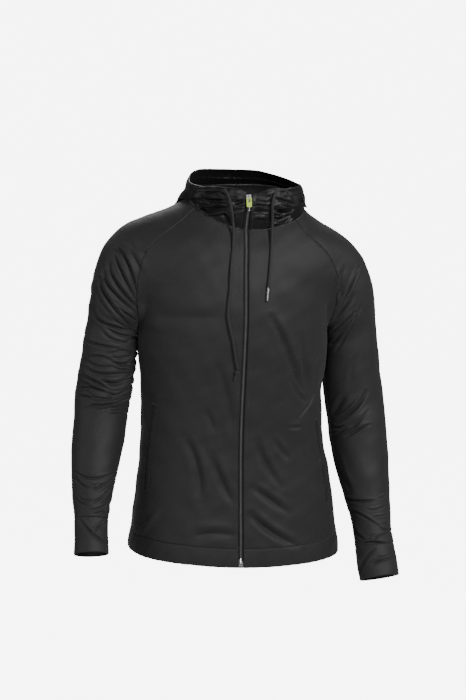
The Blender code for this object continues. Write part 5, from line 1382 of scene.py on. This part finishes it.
# Sections of the hood at angles from the front: where its open edge lies, the crest of the layer that
# stands on the neckline, the lowest and widest places of the bag behind, and the share of the bag.
HOOD_TABLE = {"right": np.array([
    # angle edge_r edge_z  crest_z low_z   bag_r  bag
    (0, 0.0745, 0.0080, 0.0000, -0.0200, 0.0900, 0.00),
    (25, 0.0800, 0.0190, 0.0020, -0.0150, 0.0950, 0.00),
    (45, 0.0840, 0.0210, 0.0050, -0.0080, 0.1000, 0.05),
    (66, 0.0920, 0.0215, 0.0080, -0.0060, 0.1060, 0.55),
    (85, 0.0950, 0.0240, 0.0110, -0.0110, 0.1050, 1.00),
    (105, 0.0970, 0.0310, 0.0140, -0.0420, 0.1110, 1.00),
    (125, 0.1010, 0.0380, 0.0150, -0.1000, 0.1300, 1.00),
    (145, 0.1100, 0.0410, 0.0130, -0.1680, 0.1600, 1.00),
    (163, 0.1200, 0.0390, 0.0110, -0.1960, 0.1700, 1.00),
    (180, 0.1230, 0.0370, 0.0110, -0.2020, 0.1700, 1.00)]),
    "left": np.array([
        (0, 0.0745, 0.0080, 0.0000, -0.0200, 0.0900, 0.00),
        (25, 0.0790, 0.0175, 0.0000, -0.0200, 0.0950, 0.00),
        (45, 0.0835, 0.0160, 0.0000, -0.0180, 0.0980, 0.05),
        (66, 0.0880, 0.0170, 0.0020, -0.0180, 0.1020, 0.50),
        (85, 0.0955, 0.0190, 0.0040, -0.0260, 0.1035, 1.00),
        (105, 0.0990, 0.0190, 0.0060, -0.0380, 0.1055, 1.00),
        (125, 0.1040, 0.0240, 0.0090, -0.0900, 0.1260, 1.00),
        (145, 0.1120, 0.0310, 0.0110, -0.1600, 0.1590, 1.00),
        (163, 0.1200, 0.0360, 0.0110, -0.1950, 0.1700, 1.00),
        (180, 0.1230, 0.0370, 0.0110, -0.2020, 0.1700, 1.00)])}


def hood_grid(side):
    """One half of the hood: columns round the neck from the zip, rows from neckline to open edge. A
    column mixes an upright line with one that goes over the crest and down into the bag."""
    sign = SIGN[side]
    first = sign * zip_angle() + np.degrees(ZIP_HALF / NECK_FRONT)
    last = 180 - 0.05
    angles = np.linspace(first, last, HOOD_COLUMNS + 1)
    base = neckline(sign * angles)
    edge_r, edge_z, crest, low, bag_r, bag = np.moveaxis(
        smooth(HOOD_TABLE[side], np.clip(angles, 0, 180)), -1, 0)
    bag = np.clip(bag, 0, 1)
    base_r = np.hypot(base[:, 0] - NECK_CENTRE, base[:, 1])
    step = np.linspace(0, 1, 9)
    columns = []
    for k in range(len(angles)):
        r0, z0, r1, z1 = base_r[k], base[k, 2], edge_r[k], edge_z[k]
        wide, deep = bag_r[k] - r0, crest[k] - low[k]
        bulge = 0.005 * np.sin(np.pi * step)
        stand = np.stack([r0 + (r1 - r0) * step + bulge, z0 + (z1 - z0) * step], axis=-1)
        folded = np.array([
            (r0, z0),
            (r0 + 0.04 * wide, z0 + 0.6 * (crest[k] - z0)),
            (r0 + 0.20 * wide, crest[k]),
            (r0 + 0.38 * wide, crest[k] - 0.35 * deep),
            (r0 + 0.48 * wide, low[k] + 0.15 * deep),
            (r0 + 0.72 * wide, low[k]),
            (r0 + 0.98 * wide, low[k] + 0.25 * (z1 - low[k])),
            (0.55 * bag_r[k] + 0.45 * r1, low[k] + 0.75 * (z1 - low[k])),
            (r1, z1)])
        mixed = stand + bag[k] * (folded - stand)
        columns.append(through(np.c_[mixed, np.zeros(9)], HOOD_ROWS + 1)[:, :2])
    line = np.array(columns).transpose(1, 0, 2)
    rows = np.linspace(0, 1, HOOD_ROWS + 1)[:, None]
    radius = line[..., 0]
    base_turn = np.arctan2(base[:, 0] - NECK_CENTRE, -base[:, 1])
    turn = base_turn + (np.radians(sign * angles) - base_turn) * ramp(rows, 0, 0.6)
    turn[:, -1] = np.radians(sign * last)
    grid = np.stack([NECK_CENTRE + radius * np.sin(turn), -radius * np.cos(turn), line[..., 1]],
                    axis=-1)
    lean = smooth(ZIP_LINE, grid[:, :1, 2])[..., 0] + sign * ZIP_HALF - grid[:, :1, 0]
    grid[..., 0] += lean * (1 - ramp(angles, first, 40))
    layer = CLEAR_LOW + (CLEAR_HIGH - CLEAR_LOW) * ramp(rows, 0.45, 0.8)
    for _ in range(4):
        steep = unit(slope(grid, "whole"))
        rest = ramp(rows, 0.06, 0.2) * bag
        short = np.clip(layer - form(grid, "whole"), 0, None) * rest
        grid += short[..., None] * steep
    grid[:, -1, 0] = NECK_CENTRE + sign * 0.0001
    return grid


# Gathers of the collar, in steps of the front view and mm, and folds of the bag behind, in mm.
GATHERS = np.array([
    (211, 190, 217, 189, 223, 192, 1.8, -1.6), (200, 198, 206, 196, 224, 194.5, 1.5, -2.4),
    (204, 193, 207, 194.5, 210, 196, 1.2, -1.2), (200, 202, 206, 205.5, 216, 204.5, 1.8, -2.4),
    (210, 204.5, 217, 204, 225, 204.5, 2.2, -2.4), (197, 205, 208, 213.5, 227, 211.5, 1.8, -2.0),
    (203, 200.5, 213, 200.5, 224, 200, 2.4, 2.4), (200, 208, 212, 209.5, 227, 208, 2.4, 2.8),
    (204, 191.5, 213, 193, 226, 191.5, 1.6, 1.8), (222, 214, 226, 218, 229, 228, 2.6, 2.4),
    (232, 200, 236, 198.5, 242, 198, 1.4, -1.6), (233, 208.5, 238, 205.5, 244, 204.5, 1.5, -1.8),
    (233, 203, 238, 202, 244, 201, 1.5, 1.8), (233, 213, 238, 210.5, 243, 209, 1.4, 1.4),
    (258, 199.5, 264, 199, 270, 205, 1.5, -2.0), (256, 204, 262, 203.5, 269, 205, 1.3, -1.4),
    (255, 209, 262, 207.5, 268, 210, 1.5, -2.0), (263, 194.5, 268, 193.5, 274, 190.5, 1.4, -1.4),
    (255, 197, 262, 196.5, 269, 197.5, 1.8, 2.2), (255, 206.3, 262, 206.2, 269, 207.2, 1.2, 1.6),
    (255, 212, 262, 211.5, 268, 213, 1.6, 2.0), (278, 203, 284, 207, 291, 206, 1.7, -2.4),
    (277, 199, 284, 201, 292, 205.5, 1.8, 2.4), (276, 208, 283, 211.5, 294, 209, 2.0, 2.8),
    (274, 212, 279, 214, 284, 217.5, 1.4, -2.2), (275, 217.5, 279, 219, 286, 216.5, 1.6, 2.2),
    (274, 223, 285, 221, 291.5, 213, 1.5, -2.0), (275, 226, 287, 223, 293, 215.5, 1.3, 1.8),
    (283, 192, 288, 197, 293, 201.5, 2.0, -1.6), (255, 218, 261, 217, 267, 219, 2.4, -1.2),
    (265, 216, 267, 222, 268, 230, 2.0, 1.6)])
BAG_FOLDS = np.array([
    (-115, -30, -60, -60, -20, -100, 10.0, -5.0),
    (120, -35, 95, -70, 60, -105, 10.0, -5.0),
    (-90, -10, -40, -32, 10, -36, 8.0, -4.0),
    (115, -5, 75, -28, 35, -34, 8.0, -4.0),
    (-70, -120, -20, -150, 22, -156, 10.0, -4.5),
    (110, -118, 65, -148, 23, -154, 10.0, -4.5)])
GATHER_DEPTH = 1.35       # how many times deeper the gathers are than their table says
TUNNEL = 0.019            # depth of the turned edge that holds the cord
EDGE_STEPS = (0.0, 0.0004, 0.0009, 0.0016, 0.0026, 0.0042, 0.0066, 0.0095, 0.0125, 0.0152,
              0.0170, 0.0180, 0.0186, 0.0190, 0.0194, 0.0200, 0.0210, 0.0230)


def fine_hood(side):
    """One half of the hood: the fine grid moved along its normals by swells, seams, a sine arch over the
    tunnel with a groove at its stitches, slow puckers, the gathers in front and the folds behind."""
    grid = fine(hood_grid(side), *HOOD_FINE, top=EDGE_STEPS)
    normal = faced(grid)
    stand = grid[12, 20] - np.array([NECK_CENTRE, 0.0, grid[12, 20, 2]])
    normal *= np.sign(normal[12, 20] @ stand)
    grid[:, -1, 0] = NECK_CENTRE
    normal[:, -1, 0] = 0.0
    normal = unit(normal)
    across, up = spans(grid)
    edge = up[-1:] - up
    relief = swell(grid) + seam(up, across) + seam(across, up) + seam(across[:, -1:] - across, up)
    relief += (0.0011 * np.sin(np.pi * np.clip(edge / TUNNEL, 0, 1)) ** 0.8
               - 0.0004 * np.exp(-((edge - TUNNEL) / 0.0006) ** 2)
               - 0.0008 * np.exp(-(edge / 0.0008) ** 2))
    beat = np.sin(2 * np.pi * across / 0.0125 + 1.4 * np.sin(2 * np.pi * across / 0.047))
    relief += 0.0005 * beat * np.exp(-((edge - 0.012) / 0.010) ** 2)
    depth = grid[..., 1] + 0.012
    calm = ramp(up, 0.0, 0.006) * ramp(edge, 0.0, 0.010)
    before, flat = calm * ramp(-depth, -0.012, 0.012), seen(grid) * VIEW_STEP
    for row in GATHERS * IN_STEPS:
        relief = relief + GATHER_DEPTH * before * crease(flat, row)
    behind, flat = calm * ramp(depth, -0.012, 0.012), grid[..., [0, 2]] * (1000, -1000)
    for row in BAG_FOLDS * IN_MM:
        relief = relief + behind * crease(flat, row)
    points = grid + relief[..., None] * normal
    fresh = faced(points)
    fresh[:, -1, 0] = 0.0
    return points, unit(fresh) * np.sign((fresh * normal).sum())


# The hood's tricot is a darker copy of the body's tricot. Its darker colours are painted shade, standing in
# for the shadow a head and chin would cast over the collar and hood.
HOOD_SHADED_TRICOT = tricot("black_tricot_hood_painted_shade", (0.004, 0.004, 0.0044), (0.010, 0.010, 0.0106),
                     roughness=(0.32, 0.44), sheen=0.03)
hoods, hood_normals = {}, {}
for side in ("right", "left"):
    hoods[side], hood_normals[side] = fine_hood(side)
    piece = shell("hood_half_" + side, hoods[side], hood_normals[side], HOOD_SHADED_TRICOT,
                  thickness=HOOD_WALL)
    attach(piece, "jacket")
    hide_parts("hood_" + side)
    sew("hood_" + side, hoods[side], hood_normals[side], (
        ("neck", "bottom", 0.0024, (0.05, 1.0)), ("tunnel", "top", TUNNEL, (0.0, 1.0)),
        ("middle", "last", 0.0022, (0.0, 1.0)), ("zip", "first", 0.0052, (0.0, 1.0))))

# Tape over the seam inside the back of the neck, and the loop that the jacket is hung up by.
NECK_MIDDLE = np.array([NECK_CENTRE, 0, 0])
TAPE_CLEAR = 0.0024       # the tape's long edges lie this far in from the seam
neck_line = neckline(np.linspace(102, 258, 61))
inward = -unit(neck_line * (1, 1, 0) - NECK_MIDDLE)
rise = np.array([-0.0052, -0.0036, -0.0012, 0.0012, 0.0036, 0.0052])
bow = np.array([0.0000, 0.0007, 0.0010, 0.0010, 0.0007, 0.0000])
tape_lines = (neck_line[:, None] + (TAPE_CLEAR + bow)[None, :, None] * inward[:, None]
              + rise[None, :, None] * np.array([0.0, 0.0, 1.0]))
tape = fine(tape_lines.transpose(1, 0, 2), 12, 150, (0.0,), (0.0,), (0.0,), (0.0,))
facing = faced(tape)
facing *= np.sign((facing * (NECK_MIDDLE - tape) * (1, 1, 0)).sum())
TAPE_CLOTH = tricot("herringbone_tape", (0.014, 0.014, 0.015), (0.040, 0.040, 0.042),
                    roughness=(0.6, 0.8), sheen=0.4, pitch=0.0012)
piece = shell("neck_tape", tape, facing, TAPE_CLOTH, thickness=0.0008)
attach(piece, "jacket")
sew("neck_tape", tape, facing, (
    ("low", "bottom", 0.0012, (0.0, 1.0)), ("high", "top", 0.0012, (0.0, 1.0))))
HANGER_SIZE = np.array((0.026, -0.0050, -0.009))  # half width, way forward and way down
hang_turn = np.linspace(0, np.pi, 33)
half_round = np.stack([np.cos(hang_turn), np.sin(hang_turn), np.sin(hang_turn)], axis=-1)
hang_path = neckline([180.0])[0] + np.array([0.0, -0.0052, 0.0]) + HANGER_SIZE * half_round
hanger = carry("hanger_loop", hang_path, 0.0016, 16, BRAID, relief=0.00008)
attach(hanger, "jacket")


# ------------ zip
# A closed zip: two coils of dyed nylon, sewn to two woven tapes that are stitched in behind the fronts.
# Its middle line lies midway between the cloth edges of the hem band, the fronts and the collar.
ZIP_TOP = 0.0080          # height of the upper end of the zip
TEETH_PITCH = 0.00115     # from one turn of a coil to the next
COIL_START = 0.0175       # the first turn's distance from the lower end


def closing_edge(side, column):
    """Cloth edge beside the zip at many heights: hem band, front and collar one above the other."""
    line = np.vstack([band[3:-4, column], fronts[side][4:-4, 0], hoods[side][4:-18, 0]])
    line = line[np.argsort(line[:, 2])]
    heights = np.linspace(band[0, column, 2], ZIP_TOP, 110)
    return through(np.c_[looked_up(line[:, :2], line[:, 2], heights), heights], 560)


left_edge, right_edge = closing_edge("left", 0), closing_edge("right", -1)
zip_middle = (left_edge + right_edge) / 2
zip_across = unit(left_edge - right_edge)
square_to_zip = np.cross(zip_across, unit(np.gradient(zip_middle, axis=0)))
zip_out = unit(square_to_zip * np.sign(-square_to_zip[:, 1:2]))

ZIP_TAPE = tricot("woven_zip_tape", (0.006, 0.006, 0.0062), (0.018, 0.018, 0.0185),
                  roughness=(0.7, 0.85), sheen=0.15, pitch=0.0009)
for side, low, high in (("right", -0.0090, -0.0003), ("left", 0.0003, 0.0090)):
    offset = np.linspace(low, high, 9)
    dip = -0.0013 - 0.0004 * ramp(np.abs(offset), 0.0040, 0.0060)
    woven = (zip_middle[None, ::3] + offset[:, None, None] * zip_across[None, ::3]
             + dip[:, None, None] * zip_out[None, ::3])
    piece = shell("zip_tape_" + side + "_woven", woven, np.broadcast_to(zip_out[None, ::3], woven.shape),
                  ZIP_TAPE, thickness=0.0006)
    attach(piece, "jacket")
    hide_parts("zip_tape_" + side)


def coil(name, side, finish):
    """The turns of one coil: bars that reach from beyond the middle outwards and curl down at the end,
    each in a plane across the zip and half a pitch from those of the other coil."""
    run = lengths(zip_middle[None])[0]
    first = COIL_START + (0.5 * TEETH_PITCH if side > 0 else 0.0)
    at = np.arange(first, run[-1] - 0.0005, TEETH_PITCH)
    place, side_way, out = (looked_up(rows, run, at) for rows in (zip_middle, zip_across, zip_out))
    reach = np.array([-0.00072, -0.00045, 0.0008, 0.0018, 0.00225]) * side
    lift = np.array([-0.00060, -0.00030, -0.00022, -0.00035, -0.00085])
    wide = np.array([0.60, 1.00, 0.86, 0.86, 0.60]) * 0.00036
    spine = place[:, None] + reach[None, :, None] * side_way[:, None] + lift[None, :, None] * out[:, None]
    points, faces = bent_rods(spine, wide, np.cross(side_way, out), 1.15 * out)
    return put(name, points, faces if side > 0 else faces[:, ::-1], finish)


COIL = worn_finish("nylon_coil", (0.15, 0.15, 0.152), 0.32, 700.0, (0.050, 0.050, 0.052),
                   (0.160, 0.160, 0.164), (0.22, 0.45), (0.00003, 0.4))
for side, name in ((-1, "right"), (1, "left")):
    piece = coil("zip_coil_" + name, side, COIL)
    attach(piece, "jacket")
    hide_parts("zip_teeth")


# ------------ slider, pull tab and box
# Cast and plated parts: the slider with its arched bail, the tab that swings on the bail, and the box
# with its two pins at the zip's lower end. The tab is a grip of moulded lime rubber with a window, on a
# flat metal stem with an eye at its lower end.
SLIDER_PLACE = np.array((0.0130, -0.0766, 0.0015))  # on the coil, behind the hinge of the pull tab
SLIDER_LEAN = 0.13        # the collar leans back this much under the slider
HINGE_OUT = 0.0046        # the pull tab's hinge line stands this far out from the coil
lean = np.arctan(SLIDER_LEAN)
SLIDER_AXES = np.array([
    (1.0, 0.0, 0.0), (0.0, -np.cos(lean), np.sin(lean)), (0.0, np.sin(lean), np.cos(lean))])


def prism(outline, low, high):
    """A plate: its outline at two depths, every outline running the same way round."""
    outline = np.asarray(outline, float)
    count = len(outline)
    points = np.vstack([np.c_[outline[:, 0], np.full(count, depth), outline[:, 1]]
                        for depth in (low, high)])
    faces = [tuple(range(count)), tuple(range(2 * count - 1, count - 1, -1))]
    faces += [((k + 1) % count, k, k + count, (k + 1) % count + count) for k in range(count)]
    return points, faces


def plate_ring(outer, inner, low, high):
    """A plate with a window: both outlines have the same number of corners."""
    outer, inner = np.asarray(outer, float), np.asarray(inner, float)
    count = len(outer)
    loops = [(outer, low), (inner, low), (inner, high), (outer, high)]
    points = np.vstack([np.c_[loop[:, 0], np.full(count, depth), loop[:, 1]] for loop, depth in loops])
    faces = []
    for k in range(count):
        ahead = (k + 1) % count
        for a in range(4):
            b = (a + 1) % 4
            faces.append((a * count + k, a * count + ahead, b * count + ahead, b * count + k))
    return points, faces


def cast(name, parts, finish, bevel, axes=SLIDER_AXES, origin=SLIDER_PLACE, segments=3):
    """Plates joined into one object in a frame of across, outwards and up, with rounded corners."""
    points, faces, count = [], [], 0
    for part_points, part_faces in parts:
        points.append(part_points)
        faces += [tuple(i + count for i in f) for f in part_faces]
        count += len(part_points)
    mesh = bpy.data.meshes.new(name)
    mesh.from_pydata((origin + np.vstack(points) @ axes).tolist(), [], faces)
    work = bmesh.new()
    work.from_mesh(mesh)
    bmesh.ops.recalc_face_normals(work, faces=work.faces)
    work.to_mesh(mesh)
    work.free()
    mesh.polygons.foreach_set("use_smooth", np.ones(len(mesh.polygons), bool))
    mesh.materials.append(finish)
    part = bpy.data.objects.new(name, mesh)
    bpy.context.scene.collection.objects.link(part)
    round_ = part.modifiers.new("rounded", "BEVEL")
    round_.width, round_.segments, round_.limit_method = bevel, segments, "ANGLE"
    round_.harden_normals = True
    return part


def rounded_outline(x0, x1, z0, z1, radius, count=5):
    """A rectangle with arcs at its corners, counted round from the upper right."""
    corners = ((x1 - radius, z1 - radius, 0), (x0 + radius, z1 - radius, 1),
               (x0 + radius, z0 + radius, 2), (x1 - radius, z0 + radius, 3))
    points = []
    for x, z, quarter in corners:
        for t in np.linspace(0, np.pi / 2, count):
            points.append((x + radius * np.cos(t + quarter * np.pi / 2),
                           z + radius * np.sin(t + quarter * np.pi / 2)))
    return points


SHIELD = ((-0.0028, -0.0060), (0.0028, -0.0060), (0.0031, -0.0030), (0.0041, 0.0010), (0.0043, 0.0050),
          (0.0034, 0.0068), (0.0012, 0.0060), (0.0000, 0.0046), (-0.0012, 0.0060), (-0.0034, 0.0068),
          (-0.0043, 0.0050), (-0.0041, 0.0010), (-0.0031, -0.0030))
flanges = [rounded_outline(sign * 0.0037 - 0.0005, sign * 0.0037 + 0.0005, -0.0040, 0.0048, 0.0003, 3)
           for sign in (-1, 1)]
body = cast("zip_slider_body", [prism(SHIELD, 0.0012, 0.0024), prism(SHIELD, -0.0026, -0.0016),
                                prism(flanges[0], -0.0004, 0.0016), prism(flanges[1], -0.0004, 0.0016)],
            NICKEL, 0.00035)
arch = np.array([
    (0.0, 0.0020, -0.0042), (0.0, 0.0042, -0.0043), (0.0, 0.0060, -0.0036),
    (0.0, 0.0067, -0.0018), (0.0, 0.0069, 0.0004), (0.0, 0.0066, 0.0024),
    (0.0, 0.0055, 0.0038), (0.0, 0.0038, 0.0043), (0.0, 0.0020, 0.0042)])
bail = carry("zip_slider_bail", SLIDER_PLACE + through(arch, 40) @ SLIDER_AXES, 0.00075, 16, NICKEL)
for piece in (body, bail):
    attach(piece, "jacket")
    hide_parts("zip_slider")

LIME = worn_finish("lime_moulded_grip", (0.58, 0.80, 0.06), 0.42, 220.0, (0.50, 0.72, 0.045),
                   (0.70, 0.92, 0.12), (0.34, 0.56), (0.00004, 0.5), Coat_Weight=0.15)
GRIP_RIBS = (-0.0080, -0.0094, -0.0108, -0.0122)  # heights of the grip's four ribs
stem = prism(rounded_outline(-0.0010, 0.0010, -0.0200, -0.0132, 0.0004),
             HINGE_OUT - 0.0005, HINGE_OUT + 0.0005)
eye = plate_ring(rounded_outline(-0.0014, 0.0014, -0.0214, -0.0186, 0.0013),
                 rounded_outline(-0.0005, 0.0005, -0.0205, -0.0195, 0.0004),
                 HINGE_OUT - 0.0006, HINGE_OUT + 0.0006)
core = cast("zip_pull_core", [stem, eye], NICKEL, 0.0002)
grip_outer = rounded_outline(-0.0044, 0.0044, -0.0144, 0.0009, 0.0013)
grip_window = rounded_outline(-0.0017, 0.0017, -0.0064, -0.0008, 0.0007)
grip_plate = plate_ring(grip_outer, grip_window, HINGE_OUT - 0.0010, HINGE_OUT + 0.0010)
ribs = [prism(rounded_outline(-0.0028, 0.0028, z - 0.0004, z + 0.0004, 0.0003, 3),
              HINGE_OUT - 0.0013, HINGE_OUT + 0.0013) for z in GRIP_RIBS]
grip = cast("zip_pull_grip", [grip_plate] + ribs, LIME, 0.0003)
for piece, kind in ((core, "dull_nickel"), (grip, "lime_grip")):
    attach(piece, "zip_pull")
    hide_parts("zip_pull")

UPRIGHT = np.array([(1.0, 0.0, 0.0), (0.0, -1.0, 0.0), (0.0, 0.0, 1.0)])
box = cast("zip_box_metal", [
    prism(rounded_outline(-0.0040, 0.0040, 0.0006, 0.0088, 0.0008), -0.0016, 0.0016),
    prism(rounded_outline(-0.0038, -0.0012, 0.0084, 0.0160, 0.0006), -0.0012, 0.0012),
    prism(rounded_outline(0.0012, 0.0036, 0.0084, 0.0132, 0.0006), -0.0012, 0.0012),
    prism(rounded_outline(-0.0022, 0.0022, 0.0030, 0.0060, 0.0007), 0.0012, 0.0020)],
    NICKEL, 0.0003, UPRIGHT, zip_middle[0])
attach(box, "jacket")
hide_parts("zip_stop")


# ------------ pockets
# One seam pocket in each front. A narrow turned lip of tricot covers the slit, is stitched beside one
# edge and grooved where it is sewn down, and a bar tack holds each end.
POCKETS = {"right": np.array([(-0.1455, -0.347), (-0.1550, -0.425), (-0.1610, -0.503)]),
           "left": np.array([(0.1345, -0.383), (0.1430, -0.440), (0.1560, -0.530)])}
WELT_HALF = 0.0030        # half the width of the lip
LIP_LIFT = 0.0012         # how far the lip stands out from the front
LIP_GROOVE = 0.0009       # depth of the groove along it
BLEND = 0.0022            # reach of the bell curve that evens out the front under the lip


def on_front(side, places):
    """Points and normals of the finished front at places across and up: the mean of the twelve nearest
    points of its grid, each weighted by a bell curve of its distance."""
    panel = np.concatenate([fronts[side], front_normals[side]], axis=-1).reshape(-1, 6)
    away = np.hypot(panel[:, 0] - places[:, :1], panel[:, 2] - places[:, 1:])
    near = np.argsort(away, axis=1)[:, :12]
    weight = np.exp(-(np.take_along_axis(away, near, axis=1) / BLEND) ** 2)
    mean = (weight[..., None] * panel[near]).sum(axis=1) / weight.sum(axis=1, keepdims=True)
    return np.c_[mean[:, :3], unit(mean[:, 3:])]


TACK_ACROSS = np.linspace(-0.0040, 0.0040, 24)
# The lip's tricot is a darker copy of the front's tricot. Its darker colours are painted shade along the
# pocket's slit.
LIP_SHADED_TRICOT = tricot("black_tricot_lip_painted_shade", (0.008, 0.008, 0.0084), (0.018, 0.018, 0.0185))
for side, places in POCKETS.items():
    t = np.linspace(0, 1, 61)
    line = looked_up(places, (0, 0.5, 1), t)
    way = unit(np.gradient(line, axis=0))
    cross_way = np.c_[way[:, 1], -way[:, 0]]
    offsets = np.linspace(-WELT_HALF, WELT_HALF, 25)
    both = np.array([on_front(side, line + offset * cross_way) for offset in offsets])
    points, out = both[..., :3], both[..., 3:]
    share = offsets / WELT_HALF
    profile = LIP_LIFT * (1 - share ** 4) - LIP_GROOVE * np.exp(-((share - 0.15) / 0.16) ** 2)
    puckers = 0.0002 * np.sin(2 * np.pi * lengths(points) / 0.011)
    lip = points + (profile[:, None, None] + puckers[..., None]) * out
    piece = shell("pocket_lip_" + side, lip, out, LIP_SHADED_TRICOT, thickness=0.0010)
    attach(piece, "jacket")
    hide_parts("pocket_welt_" + side)
    edge_line = on_front(side, line + (WELT_HALF + 0.0012) * cross_way * (-1 if side == "right" else 1))
    stitches("pocket_stitches_" + side, edge_line, THREAD)
    for end, at, way_at in (("low", line[-1], cross_way[0]), ("high", line[0], cross_way[-1])):
        tack = on_front(side, at + TACK_ACROSS[:, None] * way_at)
        stitches(f"pocket_tack_{side}_{end}", tack, THREAD, pitch=0.00055, length=0.0011, thick=0.00036)


# ------------ buttonholes
# A small round hole where each cord comes out of the hood's tunnel. Its edge is bound by two rings of
# close stitches, one outside the other, in the thread of the seams.
HOLE_RINGS = (0.0028, 0.0036)  # radius of each ring of stitches


def bound_hole(name, place, side):
    """Rings of close bows in the plane of the hood's cloth, round the place where a cord comes out."""
    panel, out = hoods[side].reshape(-1, 3), hood_normals[side].reshape(-1, 3)
    near = np.argmin(np.linalg.norm(panel - place, axis=1))
    centre, normal = panel[near], out[near]
    first = unit(np.cross(normal, (0.0, 0.0, 1.0)))
    second = np.cross(normal, first)
    t = np.linspace(0, 2 * np.pi, 49)
    ring = np.cos(t)[:, None] * first + np.sin(t)[:, None] * second
    for number, size in enumerate(HOLE_RINGS):
        line = np.c_[centre + size * ring + 0.0002 * normal, np.broadcast_to(normal, ring.shape)]
        stitches(f"{name}_{number}", line, THREAD, pitch=0.00062, length=0.0011, thick=0.00040)


bound_hole("right_buttonhole", CORD_RIGHT[0], "right")
bound_hole("left_buttonhole", CORD_LEFT[0], "left")


# ------------ floor and light
# A plain pale sweep of paper below and behind, and five large soft lamps: a high and a low one in front,
# a weak one at each side, and one behind. The paper and the world look pale and give little light.
FLOOR = -1.45             # height of the paper's floor
PALE = 7.0                # strength of the glow that the camera sees
PAPER_LIGHT, WORLD_LIGHT = 0.08, 0.03  # strengths of the light that they give
bend = np.linspace(0, np.pi / 2, 25)
curve_up = np.c_[4.5 + 1.5 * np.sin(bend), 1.5 - 1.5 * np.cos(bend)]
side_view = np.r_[[(-7.0, 0.0)], curve_up, [(6.0, 7.0)]]
sweep = np.stack([np.broadcast_to((-8.0, 8.0), (len(side_view), 2)),
                  np.broadcast_to(side_view[:, :1], (len(side_view), 2)),
                  np.broadcast_to(side_view[:, 1:] + FLOOR, (len(side_view), 2))], axis=-1)
number = np.arange(2 * len(side_view)).reshape(-1, 2)
quads = np.stack([number[:-1, 0], number[:-1, 1], number[1:, 1], number[1:, 0]], axis=-1)


def seen_pale(nodes, links, strength, given_light):
    """Feed a strength that is high for the camera's own rays and low for all the others."""
    ray = nodes.new("ShaderNodeLightPath").outputs["Is Camera Ray"]
    links.new(spread(nodes, links, ray, given_light, PALE), strength)


PAPER, nodes, links, shader = finish_with("backdrop_paper", (0.30, 0.30, 0.30), 0.9)
paper = shade(nodes, links, mottled(nodes, links, 3.0, 0.3), (0.97, 0.97, 0.97), (1.0, 1.0, 1.0))
links.new(paper, shader.inputs["Emission Color"])
seen_pale(nodes, links, shader.inputs["Emission Strength"], PAPER_LIGHT)
put("backdrop_sweep", sweep, quads, PAPER)

LAMP_AIM = Vector((0.0, 0.0, -0.3))
LAMPS = (
    # name      place                  size  watts
    ("high", (1.4, -2.8, 1.5), 1.0, 90.0),
    ("low", (-1.3, -2.9, -0.2), 1.2, 19.0),
    ("left", (-2.5, -0.5, 0.9), 1.0, 16.0),
    ("right", (2.5, -0.6, 1.0), 1.0, 12.0),
    ("behind", (0.2, 2.6, 1.8), 1.6, 34.0))
for name, place, size, power in LAMPS:
    data = bpy.data.lights.new("lamp_" + name, "AREA")
    data.shape, data.size, data.energy = "SQUARE", size, power
    lamp = bpy.data.objects.new("lamp_" + name, data)
    lamp.location = place
    lamp.rotation_euler = (LAMP_AIM - Vector(place)).to_track_quat("-Z", "Y").to_euler()
    bpy.context.scene.collection.objects.link(lamp)
world = bpy.data.worlds.new("studio")
world.use_nodes = True
background = world.node_tree.nodes["Background"]
background.inputs["Color"].default_value = (1.0, 1.0, 1.0, 1)
seen_pale(world.node_tree.nodes, world.node_tree.links, background.inputs["Strength"], WORLD_LIGHT)
bpy.context.scene.world = world
